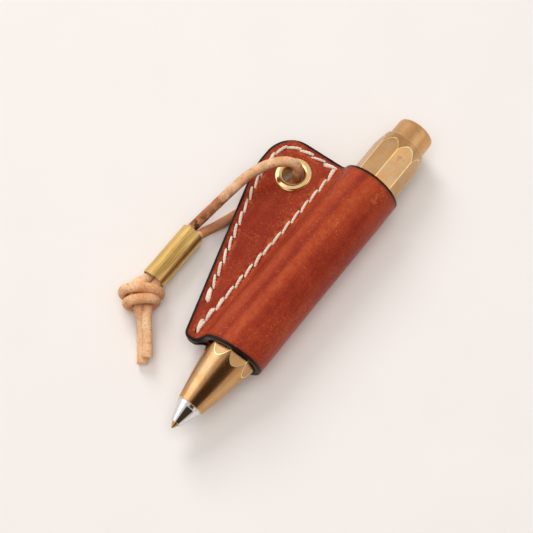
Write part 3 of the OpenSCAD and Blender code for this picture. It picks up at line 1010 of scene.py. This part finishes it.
def runTree(name, mesh, tree, keys, values):
    piece = loose(name, mesh)
    modifier = piece.modifiers.new("nodes", "NODES")
    modifier.node_group = tree
    for label, value in values.items():
        modifier[keys[label]] = value
    made = bakedMesh(piece)
    made.name = name
    return made


def kept(graph, label):  # a value that was stored on the mesh
    return graph.node("GeometryNodeInputNamedAttribute", {"data_type": "FLOAT"}, {"Name": label})


def threadTree():
    graph, wires, keys = newTree("thread", {
        "Thickness": ("Float", 0.0008),
        "Rise": ("Float", 0.0003),
        "Slant": ("Float", 0.1),
        "Twists": ("Float", 2.2),
        "Reach": ("Float", 1.0),
        "Seed": ("Int", 1),
        "Material": ("Material", None),
    })
    # every edge of the mesh is one stitch, of this length and turn about Z
    first = graph.node("GeometryNodeInputMeshEdgeVertices", {}, {}, "Position 1")
    run = graph.vectorMaths("SUBTRACT", first.output("Position 2"), first)
    across = graph.node("ShaderNodeSeparateXYZ", {}, {0: run})
    measures = {
        "span": graph.vectorMaths("LENGTH", run, output="Value"),
        "turn": across.output("Y").maths("ARCTAN2", across),
    }
    edges = wires["Geometry"]
    for label, value in measures.items():
        edges = graph.node("GeometryNodeStoreNamedAttribute",
                           {"data_type": "FLOAT", "domain": "EDGE"},
                           {"Geometry": edges, "Name": label, "Value": value})
    spots = graph.node("GeometryNodeMeshToPoints", {"mode": "EDGES"}, {"Mesh": edges})
    # one stitch along X, of unit length: three plies twisted round each other, bowed up
    line = graph.node("GeometryNodeCurvePrimitiveLine", {},
                      {"Start": (-0.5, 0, 0), "End": (0.5, 0, 0)})
    line = graph.node("GeometryNodeResampleCurve", {}, {"Curve": line, "Count": 26})
    plies = graph.node("GeometryNodeDuplicateElements", {"domain": "SPLINE"},
                       {"Geometry": line, "Amount": 3})
    along = graph.node("GeometryNodeSplineParameter", {}, {}, "Factor")
    phase = fullTurn * (along * wires["Twists"] + plies.output("Duplicate Index") / 3)
    fall = abs(2 * along - 1) ** 3.2  # 0 in the stitch's middle, 1 at its ends
    spread = wires["Thickness"] * 0.26 * (1 - 0.4 * fall)
    # across and up are in metres; along is stretched to the stitch's span afterwards
    across = spread * phase.maths("COSINE")
    up = spread * phase.maths("SINE") + wires["Rise"] * (1 - 1.9 * fall)
    curve = graph.node("GeometryNodeSetPosition", {},
                       {"Geometry": plies, "Offset": graph.vector(0, across, up)})
    curve = graph.node("GeometryNodeSetCurveRadius", {},
                       {"Curve": curve, "Radius": wires["Thickness"] * 0.255 * (1 - 0.3 * fall)})

    def random(low, high, seed):
        values = {2: low, 3: high, "Seed": seed}
        return graph.node("FunctionNodeRandomValue", {"data_type": "FLOAT"}, values, 1)
    turn = kept(graph, "turn") + wires["Slant"] + random(-0.1, 0.1, wires["Seed"])
    fullness = random(0.8, 1.12, wires["Seed"] + 3)
    scale = graph.vector(kept(graph, "span") * wires["Reach"], fullness, fullness)
    stitches = graph.node("GeometryNodeInstanceOnPoints", {},
                          {"Points": spots, "Instance": curve, "Rotation": graph.vector(z=turn),
                           "Scale": scale})
    whole = graph.node("GeometryNodeRealizeInstances", {}, {"Geometry": stitches})
    circle = graph.node("GeometryNodeCurvePrimitiveCircle", {}, {"Resolution": 8, "Radius": 1.0})
    thick = graph.node("GeometryNodeInputRadius")
    whole = graph.node("GeometryNodeCurveToMesh", {},
                       {"Curve": whole, "Profile Curve": circle, "Scale": thick,
                        "Fill Caps": True})
    return closeTree(graph, whole, wires["Material"]), keys


def holeTree():
    graph, wires, keys = newTree("awlHoles", {
        "Length": ("Float", 0.0011),
        "Width": ("Float", 0.0004),
        "Depth": ("Float", 0.0002),
        "Slant": ("Float", 0.6),
        "Material": ("Material", None),
    })
    spots = graph.node("GeometryNodeMeshToPoints", {"mode": "VERTICES"},
                       {"Mesh": wires["Geometry"]})
    ball = graph.node("GeometryNodeMeshUVSphere", {},
                      {"Segments": 16, "Rings": 8, "Radius": 0.5}, "Mesh")
    turn = kept(graph, "turn") + wires["Slant"]
    scale = graph.vector(wires["Length"], wires["Width"], wires["Depth"])
    whole = graph.node("GeometryNodeInstanceOnPoints", {},
                       {"Points": spots, "Instance": ball, "Rotation": graph.vector(z=turn),
                        "Scale": scale})
    return closeTree(graph, whole, wires["Material"]), keys


def threadMaterial():
    def maps(graph):
        place = graph.objectPlace()
        fibre = graph.noise(place, 4200, 3, 0.7)
        cloud = graph.noise(place, 210, 2, 0.5)
        shade = graph.ramp(0.5 * fibre + 0.5 * cloud,
                           (0.3, colour(216, 190, 168)),
                           (0.5, colour(240, 222, 204)),
                           (0.7, colour(250, 240, 226)))
        return {
            "Base Color": shade,
            "Roughness": 0.45 + 0.35 * fibre,
            "Normal": graph.bump(fibre, 0.00005, 0.8),
        }
    return newMaterial("waxedThread", {"Specular IOR Level": 0.4}, maps)


def holeShadeMaterial():
    # the near-black colour is painted shade in the shallow awl holes
    def maps(graph):
        place = graph.objectPlace()
        holeMottle = graph.noise(place, 3000, 2, 0.5)
        shade = graph.mixColour(holeMottle, (0.012, 0.003, 0.002, 1), (0.05, 0.012, 0.006, 1))
        return {"Base Color": shade, "Roughness": 0.6 + 0.3 * holeMottle}
    return newMaterial("awlHoleShade", {"Specular IOR Level": 0.2}, maps)


stitching = {
    "thread": 0.86,
    "rise": {1: 0.3, -1: 0.16},  # over the surface; the back row is pressed in
    "slant": 0.17,
    "twists": 1.6,
    "reach": 1.12,  # times the gap between two holes
    "hole": (1.25, 0.5, 0.14),  # length, width and depth
    "holeSlant": 0.5,
    "sunk": 0.17,  # how far under the wing's surface the rows are laid
    "doubled": (  # row, stitch and side: the thread runs back over itself at the rows' ends
        ("outer", 0, 0.42), ("outer", 0, -0.3), ("outer", 11, 0.3), ("outer", 16, 0.35),
        ("inner", 0, 0.35), ("inner", 14, 0.4), ("inner", 14, -0.35), ("inner", 13, 0.4),
        ("inner", 12, -0.3),
    ),
}


def stitchRows():
    # awl holes as points on the flat wing, x out of the pen; every edge is one stitch
    points, edges = [], []
    for row in rows.values():
        start = len(points)
        points += [(-point.x, point.y, 0) for point in row]
        edges += [(start + k, start + k + 1) for k in range(len(row) - 1)]
    for name, place, beside in stitching["doubled"]:
        first, second = rows[name][place], rows[name][place + 1]
        run = (second - first).normalized()
        step = Vector((-run.y, run.x)) * beside
        start = len(points)
        for point in (first.lerp(second, 0.08) + step, first.lerp(second, 0.9) + step * 0.6):
            points.append((-point.x, point.y, 0.06))
        edges.append((start, start + 1))
    return points, edges


def makeStitching():
    thread, hole = threadMaterial(), holeShadeMaterial()
    threads, threadKeys = threadTree()
    holes, holeKeys = holeTree()
    points, edges = stitchRows()
    length, width, depth = stitching["hole"]
    onPen = Matrix.Translation(Vector((penX, 0, penZ)) * mm)
    tilted = Matrix.Rotation(-leather["tilt"], 4, "Y")
    raised = Matrix.Translation((0, 0, (leather["thickness"] - stitching["sunk"]) * mm))
    whole = bmesh.new()
    for face in (1, -1):  # the wing's front and its back
        mesh = bpy.data.meshes.new("rows")
        mesh.from_pydata([Vector(point) * mm for point in points], edges, [])
        stitches = runTree("stitches", mesh.copy(), threads, threadKeys, {
            "Thickness": stitching["thread"] * mm,
            "Rise": stitching["rise"][face] * mm,
            "Slant": stitching["slant"] * face,
            "Twists": stitching["twists"],
            "Reach": stitching["reach"],
            "Seed": 4 + face,
            "Material": thread,
        })
        turn = mesh.attributes.new("turn", "FLOAT", "POINT")
        for first, second in edges:
            run = Vector(points[second]) - Vector(points[first])
            turn.data[first].value = turn.data[second].value = math.atan2(run.y, run.x)
        dimples = runTree("awlHoles", mesh, holes, holeKeys, {
            "Length": length * mm,
            "Width": width * mm,
            "Depth": depth * mm,
            "Slant": stitching["holeSlant"] * face,
            "Material": hole,
        })
        for slot, part in enumerate((stitches, dimples)):
            part.transform(onPen @ tilted @ Matrix.Diagonal((1, 1, face, 1)) @ raised)
            if face < 0:
                part.flip_normals()
            before = len(whole.faces)
            whole.from_mesh(part)
            whole.faces.ensure_lookup_table()
            for patch in whole.faces[before:]:
                patch.material_index = slot
    mesh = bpy.data.meshes.new("stitching")
    whole.to_mesh(mesh)
    whole.free()
    for material in (thread, hole):
        mesh.materials.append(material)
    finished("stitching", smoothed(mesh), "sleeve", "waxed_thread", None, "stitching")
    print("stitching has", len(mesh.polygons), "faces")


makeStitching()
print("stitching done")


def brassMaterial(name, bright, dark, rough, brushed=0.0, wear=0.3, stain=0.25, worn=None):
    # brushed draws fine lines along the pen's axis, and worn is the paler colour of the barrels'
    # edges: edge wear with a painted glint along them
    def maps(graph):
        place = graph.objectPlace()
        cloud = graph.noise(place, 75, 4, 0.6, 0.5)
        fine = graph.noise(place, 1400, 3, 0.6)
        lines = graph.noise(graph.objectPlace((1, 0.02, 1)), 5200, 3, 0.6)
        spots = graph.noise(place, 420, 2, 0.6).between(0.62, 0.78)
        streaks = graph.noise(graph.objectPlace((1, 0.025, 1)), 3000, 4, 0.7)
        deep = (*(part * 0.35 for part in dark[:3]), 1)
        shade = graph.painted(bright,
                              (cloud.between(0.35, 0.7) * wear, dark),
                              (spots * stain, deep),
                              (lines.between(0.35, 0.65) * brushed * 0.35, dark),
                              (streaks.between(0.45, 0.62) * brushed * 0.75, dark))
        if worn:
            patina = (0.6 * graph.noise(place, 260, 4, 0.7) + 0.4 * cloud).between(0.44, 0.6)
            # edge wear with a painted glint: the facets' edges and the cones' rims are paler
            edgeWearAndGlint = barrelEdges(graph, place) * (0.55 + 0.6 * fine.between(0.3, 0.6)).atMost(1)
            shade = graph.painted(shade, (patina * 0.45, colour(196, 176, 144)), (edgeWearAndGlint, worn))
        height = brushed * lines + 0.25 * fine
        return {
            "Base Color": shade,
            "Roughness": rough + 0.16 * cloud + 0.14 * brushed * lines + 0.1 * spots,
            "Normal": graph.bump(height, 0.00003, 0.5),
        }
    return newMaterial(name, {"Metallic": 1.0}, maps)


bead = {"outer": 3.4, "inner": 3.1, "length": 17, "middle": -15.5}


def makeBead():
    outer, inner, end = bead["outer"], bead["inner"], bead["length"] / 2
    profile = [
        (inner, 0),
        (inner, end - 0.25, 0.1),
        (inner + 0.06, end, 0.05),
        (outer - 0.07, end, 0.06),
        (outer, end - 0.12, 0.1),
    ]
    mirrored = [(radius, -height, *corner) for radius, height, *corner in profile[:0:-1]]
    profile += [*mirrored, (inner, -0.001)]

    def place(x, y, height):
        return (cord["beadX"] + x, bead["middle"] + height, cord["beadZ"] + y)
    mesh = turnedMesh("bead", rounded(profile, 0.08, 3), place, 112, closed=True)
    material = brassMaterial("beadBrass", colour(248, 214, 138), colour(184, 136, 66), 0.24, 1.0,
                             0.25, 0.2)
    return finished("bead", mesh, "bead", "bead_brass", material, "slide_bead")


def makeEyelet():
    hole, wall, rim = eyelet["hole"], eyelet["wall"], eyelet["rim"]
    face = leather["thickness"]
    back = -face - 0.4
    profile = [
        (hole, 0),
        (hole, face + 0.2, 0.4),
        (hole + 0.3, face + 0.62, 0.4),
        (hole + 0.95, face + 0.74, 0.7),
        (rim - 0.35, face + 0.56, 0.5),
        (rim, face + 0.08, 0.15),
        (rim - 0.1, face - 0.12, 0.05),
        (hole + wall, face - 0.12, 0.1),
        (hole + wall, back, 0.1),
        (4.1, back, 0.1),
        (4.0, back - 0.3, 0.12),
        (hole + 0.3, back - 0.3, 0.3),
        (hole, back + 0.1, 0.2),
        (hole, -0.001),
    ]
    gold = brassMaterial("eyeletGold", colour(255, 230, 176), colour(232, 188, 116), 0.08, 0.1,
                         0.35, 0.15)

    def place(x, y, height):
        return inWing(eyelet["u"] + x, eyelet["y"] + y, height)
    mesh = turnedMesh("eyelet", rounded(profile, 0.2, 4), place, 96, closed=True)
    finished("eyelet", mesh, "sleeve", "eyelet_brass", gold, "eyelet")
    inner = hole + wall + 0.05
    washer = [(inner, -face - 0.2), (inner, -face + 0.05), (4.75, -face + 0.05, 0.1),
              (4.8, -face - 0.2, 0.1), (4.65, -face - 0.4, 0.12), (inner, -face - 0.4, 0.05),
              (inner, -face - 0.201)]
    mesh = turnedMesh("washer", rounded(washer, 0.1, 3), place, 96, closed=True)
    finished("washer", mesh, "sleeve", "eyelet_brass", gold, "eyelet_washer")


declareCord(strandsMade, makeBead())
makeEyelet()
print("bead and eyelet done")


pen = {
    "noseFront": -51.4,
    "noseBack": -45.6,
    "joint": 8,
    "barrelEnd": 47.1,
    "buttonEnd": 53,
    "flats": 6.45,  # half the width across them
    "turn": math.radians(3),
    "columns": 128,
    "coneRows": 22,
    "flatRows": 14,
}
eighth = math.pi / 4
barrels = {
    "frontBarrel": {
        "node": "front_barrel",
        "from": pen["noseBack"],  # where the cone starts, at the end face
        "to": -28.7,  # where it meets the flats' corners
        "end": 3.7,  # its radius at the end face
        "face": 3.0,  # radius of the bore in that face
        "bulge": 0.15,
        "joint": pen["joint"] - 0.02,  # the flats run to here
        "bore": 0.3,  # how far the bore's wall is drawn into it
    },
    "rearBarrel": {
        "node": "rear_barrel",
        "from": pen["barrelEnd"],
        "to": pen["barrelEnd"] - 4.5,
        "end": 6.1,
        "face": 5.5,
        "bulge": 0.0,
        "joint": pen["joint"] + 0.02,
        "bore": -3,
    },
}


def barrelEdges(graph, place):
    # 1 on the flats' corners and where a cone meets them, from the barrels' own sizes
    x, y, z = graph.fromPen(place)
    radius = (x * x + z * z) ** 0.5
    inFlat = (z.maths("ARCTAN2", x) + pen["turn"]) % eighth - eighth / 2
    flats = pen["flats"] / inFlat.maths("COSINE")
    widest = pen["flats"] / math.cos(eighth / 2)
    offFlat = abs(radius - flats)
    edge = (eighth / 2 - abs(inFlat)) * radius + offFlat * 3
    for barrel in barrels.values():
        length, end, bulge = barrel["to"] - barrel["from"], barrel["end"], barrel["bulge"]
        share = (y - barrel["from"]) / length
        cone = end + (widest - end) * share + 4 * bulge * share * (1 - share)
        meets = abs(cone - flats) * 5 + offFlat * 2
        edge = edge.atMost(meets).atMost(abs(share) * abs(length) + 0.05)
    return 1 - edge.between(0.06, 0.24)


def barrelTree():
    # a grid's columns go round the barrel, and its rows are an end face, a cone and the flats
    graph, wires, keys = newTree("barrel", {
        "Half across flats": ("Float", 0.00645),
        "Cone end radius": ("Float", 0.0037),
        "Face radius": ("Float", 0.003),
        "Bulge": ("Float", 0.0),
        "Cone from": ("Float", -0.0456),
        "Cone to": ("Float", -0.0287),
        "Flats to": ("Float", 0.008),
        "Columns": ("Int", 128),
        "Cone rows": ("Int", 22),
        "Flat rows": ("Int", 14),
        "Material": ("Material", None),
    })
    flats, end, face = wires["Half across flats"], wires["Cone end radius"], wires["Face radius"]
    bulge, start, stop, far = (wires[k] for k in ("Bulge", "Cone from", "Cone to", "Flats to"))
    columns, coneRows, flatRows = (wires[k] for k in ("Columns", "Cone rows", "Flat rows"))
    grid = graph.node("GeometryNodeMeshGrid", {},
                      {"Size X": 1.0, "Size Y": 1.0, "Vertices X": coneRows + flatRows + 2,
                       "Vertices Y": columns + 1}, "Mesh")
    index = graph.node("GeometryNodeInputIndex")
    row = (index / (columns + 1)).maths("FLOOR")
    angle = fullTurn * (index % (columns + 1)) / columns
    corner = flats / (angle % eighth - eighth / 2).maths("COSINE")
    widest = flats / math.cos(eighth / 2)
    steep = widest - end + 4 * bulge
    over = corner - end
    root = (steep * steep - 16 * bulge * over) ** 0.5
    meets = 2 * over / (steep + root)  # where the cone reaches this column of the flats
    onCone = ((row - 1) / coneRows).atLeast(0).atMost(1)
    onFlat = ((row - 1 - coneRows) / flatRows).atLeast(0).atMost(1)
    share = meets * onCone
    isFace = (1 - row).atLeast(0)
    radius = end + (widest - end) * share + 4 * bulge * share * (1 - share)
    radius = radius * (1 - isFace) + face * isFace
    edge = start + (stop - start) * meets
    along = start + (stop - start) * share + (far - edge) * onFlat
    where = graph.vector(radius * angle.maths("COSINE"), along, radius * angle.maths("SINE"))
    whole = graph.node("GeometryNodeSetPosition", {}, {"Geometry": grid, "Position": where})
    whole = graph.node("GeometryNodeMergeByDistance", {}, {"Geometry": whole, "Distance": 1e-6})
    return closeTree(graph, whole, wires["Material"]), keys


def bevelled(name, mesh, width, angle):
    piece = loose(name, mesh)
    bevel = piece.modifiers.new("edges", "BEVEL")
    bevel.width = width * mm
    bevel.segments = 3
    bevel.limit_method = "ANGLE"
    bevel.angle_limit = math.radians(angle)
    bevel.harden_normals = True
    return bakedMesh(piece)


def makeBarrels():
    material = brassMaterial("penBrass", colour(212, 164, 112), colour(168, 116, 68), 0.15, 0.25,
                             0.5, 0.35, colour(255, 230, 168))
    tree, keys = barrelTree()
    common = {
        "Half across flats": pen["flats"] * mm,
        "Columns": pen["columns"],
        "Cone rows": pen["coneRows"],
        "Flat rows": pen["flatRows"],
        "Material": material,
    }
    sizes = {
        "Cone end radius": "end",
        "Face radius": "face",
        "Bulge": "bulge",
        "Cone from": "from",
        "Cone to": "to",
        "Flats to": "joint",
    }
    turn = Matrix.Translation(Vector((penX, 0, penZ)) * mm) @ Matrix.Rotation(pen["turn"], 4, "Y")
    for name, barrel in barrels.items():
        values = {label: barrel[size] * mm for label, size in sizes.items()}
        mesh = runTree(name, bpy.data.meshes.new("seed"), tree, keys, {**common, **values})
        mesh.transform(turn)
        closeBarrel(mesh, barrel["from"] * mm, barrel["bore"] * mm)
        mesh = bevelled(name, mesh, 0.13, 9)
        finished(name, mesh, "pen", "barrel_brass", None, barrel["node"])
        print(name, "has", len(mesh.polygons), "faces")


def closeBarrel(mesh, faceEnd, depth):
    # the bore's wall and the joint's face are drawn inwards from the two open rims
    work = bmesh.new()
    work.from_mesh(mesh)
    rims = {True: [], False: []}
    for edge in work.edges:
        if edge.is_boundary:
            middle = (edge.verts[0].co.y + edge.verts[1].co.y) / 2
            rims[abs(middle - faceEnd) < 1e-4].append(edge)
    axis = Vector((penX * mm, 0, penZ * mm))
    for atFace, edges in rims.items():
        made = bmesh.ops.extrude_edge_only(work, edges=edges)
        for point in (item.co for item in made["geom"] if isinstance(item, bmesh.types.BMVert)):
            if atFace:
                point.y += depth
            else:
                out = Vector((point.x, 0, point.z)) - axis
                point.xz = (axis + out.normalized() * 5.2 * mm).xz
    bmesh.ops.recalc_face_normals(work, faces=work.faces)
    work.to_mesh(mesh)
    work.free()
    smoothed(mesh)


def makeTurnedPieces():
    chrome = brassMaterial("noseChrome", colour(232, 232, 236), colour(196, 194, 196), 0.03, 0.0,
                           0.3, 0.1)
    front, back = pen["noseFront"], pen["noseBack"]
    nose = [(1.2, front + 2), (1.2, front + 0.1, 0.05), (1.3, front, 0.05),
            (1.45, front + 0.05, 0.08), (1.6, front + 0.4, 0.3), (3.28, back - 1.05, 0.1),
            (3.34, back - 0.98, 0.05), (3.47, back - 0.92, 0.06), (3.5, back - 0.05, 0.06),
            (3.3, back - 0.01, 0.03), (3.0, back + 0.2)]
    mesh = turnedMesh("nose", rounded(nose, 0.05, 3), alongPen, 96)
    finished("nose", mesh, "pen", "nose_chrome", chrome, "nose_cap")
    brass = brassMaterial("buttonBrass", colour(222, 176, 124), colour(182, 132, 82), 0.27, 0.3,
                          0.5, 0.3)
    end, skirt = pen["buttonEnd"], pen["barrelEnd"] - 7.6
    button = [(4.6, end - 1), (4.6, skirt, 0.05), (5.4, skirt, 0.05), (5.4, end - 1.2, 0.2),
              (5.22, end - 0.35, 0.35), (4.7, end - 0.03, 0.3), (2.5, end, 0.8), (0, end)]
    mesh = turnedMesh("button", rounded([(0, end - 1), *button], 0.1, 4), alongPen, 112)
    finished("button", mesh, "button", "barrel_brass", brass, "push_button")


makeBarrels()
makeTurnedPieces()
print("pen done")


def plasticMaterial():
    def maps(graph):
        place = graph.objectPlace()
        grain = graph.noise(place, 2600, 3, 0.6)
        cloud = graph.noise(place, 120, 2, 0.5)
        shade = graph.mixColour(cloud, (0.012, 0.012, 0.013, 1), (0.03, 0.03, 0.032, 1))
        return {
            "Base Color": shade,
            "Roughness": 0.38 + 0.25 * grain,
            "Normal": graph.bump(grain, 0.00002, 0.6),
        }
    return newMaterial("clickPlastic", {}, maps)


def dressKept():  # the pieces whose CAD form stays
    steel = brassMaterial("refillSteel", colour(190, 191, 194), colour(120, 120, 122), 0.24, 0.8)
    wire = brassMaterial("springSteel", colour(178, 180, 184), colour(96, 96, 100), 0.3, 0.3)
    tip = brassMaterial("pointBrass", colour(214, 178, 118), colour(140, 104, 60), 0.16, 0.2)
    materials = {"refill_tube": steel, "refill_point": tip, "return_spring": wire}
    clickPieces = ("click_guide", "click_rotor", "click_plunger")
    materials.update(dict.fromkeys(clickPieces, plasticMaterial()))
    for node, material in materials.items():
        piece = frame["nodes"][node]
        if not piece.material_slots:
            piece.data.materials.append(material)
        for place in piece.material_slots:
            place.material = material


dressKept()
print("kept nodes dressed")


studio = {
    "floorReach": 1.2,  # metres each way
    "lampsReach": (0.2, 1.1),  # over this distance the paper starts to glow faintly
    "wall": 0.76,  # what the metals mirror: a plain wall, a window, a sheet and a dark patch
    "window": 1.35,
    "sheet": 0.6,
    "dark": 0.93,
    "fill": 0.38,  # the sky's light on what isn't a mirror
    "seen": 0.5,  # added where the camera looks past the paper
}
lamps = {  # place, size, power and colour; they face the origin
    "key": ((-0.9, 0.55, 0.9), (0.6, 0.75), 8.6, (1, 1, 1)),
    "top": ((0.06, -0.08, 0.75), (0.6, 0.6), 2.6, (1, 0.975, 0.955)),
}


def floorMaterial():
    def maps(graph):
        place = graph.objectPlace()
        grain = graph.noise(place, 40, 3, 0.5)
        shade = graph.mixColour(grain, colour(243, 238, 234), colour(247, 243, 239))
        far = graph.vectorMaths("LENGTH", place, output="Value").between(*studio["lampsReach"])
        return {
            "Base Color": shade,
            "Emission Color": graph.mixColour(far, (0, 0, 0, 1), (0.62, 0.6, 0.58, 1)),
        }
    fixed = {"Roughness": 0.9, "Specular IOR Level": 0.1, "Emission Strength": 1.0}
    return newMaterial("paper", fixed, maps)


def makeFloor():
    reach = studio["floorReach"]
    mesh = bpy.data.meshes.new("floor")
    corners = [(-reach, -reach, 0), (reach, -reach, 0), (reach, reach, 0), (-reach, reach, 0)]
    mesh.from_pydata(corners, [], [(0, 1, 2, 3)])
    floor = bpy.data.objects.new("floor", mesh)
    world.objects.link(floor)
    mesh.materials.append(floorMaterial())


def softbox(name, place, size, power, tint):
    data = bpy.data.lights.new(name, "AREA")
    data.shape = "RECTANGLE"
    data.size, data.size_y = size
    data.energy = power
    data.color = tint
    lamp = bpy.data.objects.new(name, data)
    world.objects.link(lamp)
    lamp.visible_glossy = False  # what metal mirrors is in the sky instead
    lamp.location = place
    lamp.rotation_euler = (-Vector(place)).to_track_quat("-Z", "Y").to_euler()


def makeLight():
    sky = bpy.data.worlds.new("studio")
    bpy.context.scene.world = sky
    sky.use_nodes = True
    graph = Graph(sky.node_tree)
    way = graph.node("ShaderNodeTexCoord", {}, {}, "Generated")

    def facing(x, y, z):
        towards = Vector((x, y, z)).normalized()
        return graph.vectorMaths("DOT_PRODUCT", way, towards, output="Value")
    shadow = facing(0.45, -0.42, 0.78).between(0.75, 0.85)  # the dark behind the camera
    window = facing(-0.8, -0.15, 0.55).between(0.84, 0.98)
    above = facing(0.64, 0.4, 0.66).between(0.88, 0.98)
    wall = studio["wall"] - 0.06 * facing(0.79, 0.62, 0)
    glossy, seen = (graph.node("ShaderNodeLightPath", {}, {}, f"Is {ray} Ray")
                    for ray in ("Glossy", "Camera"))
    bright = wall + studio["window"] * window + studio["sheet"] * above
    bright = bright * (1 - studio["dark"] * shadow)
    tint = graph.mixColour(bright, (1.0, 0.62, 0.36, 1), (1.0, 0.99, 0.97, 1))
    tint = graph.mixColour(glossy, (1.0, 0.965, 0.935, 1), tint)
    strength = bright * glossy + studio["fill"] * (1 - glossy) + studio["seen"] * seen
    background = sky.node_tree.nodes["Background"]
    for socket, wire in enumerate((tint, strength)):
        sky.node_tree.links.new(wire.socket, background.inputs[socket])
    for name, values in lamps.items():
        softbox(name, *values)
    bpy.context.scene.view_settings.view_transform = "Standard"


makeFloor()
makeLight()
print("stage done")
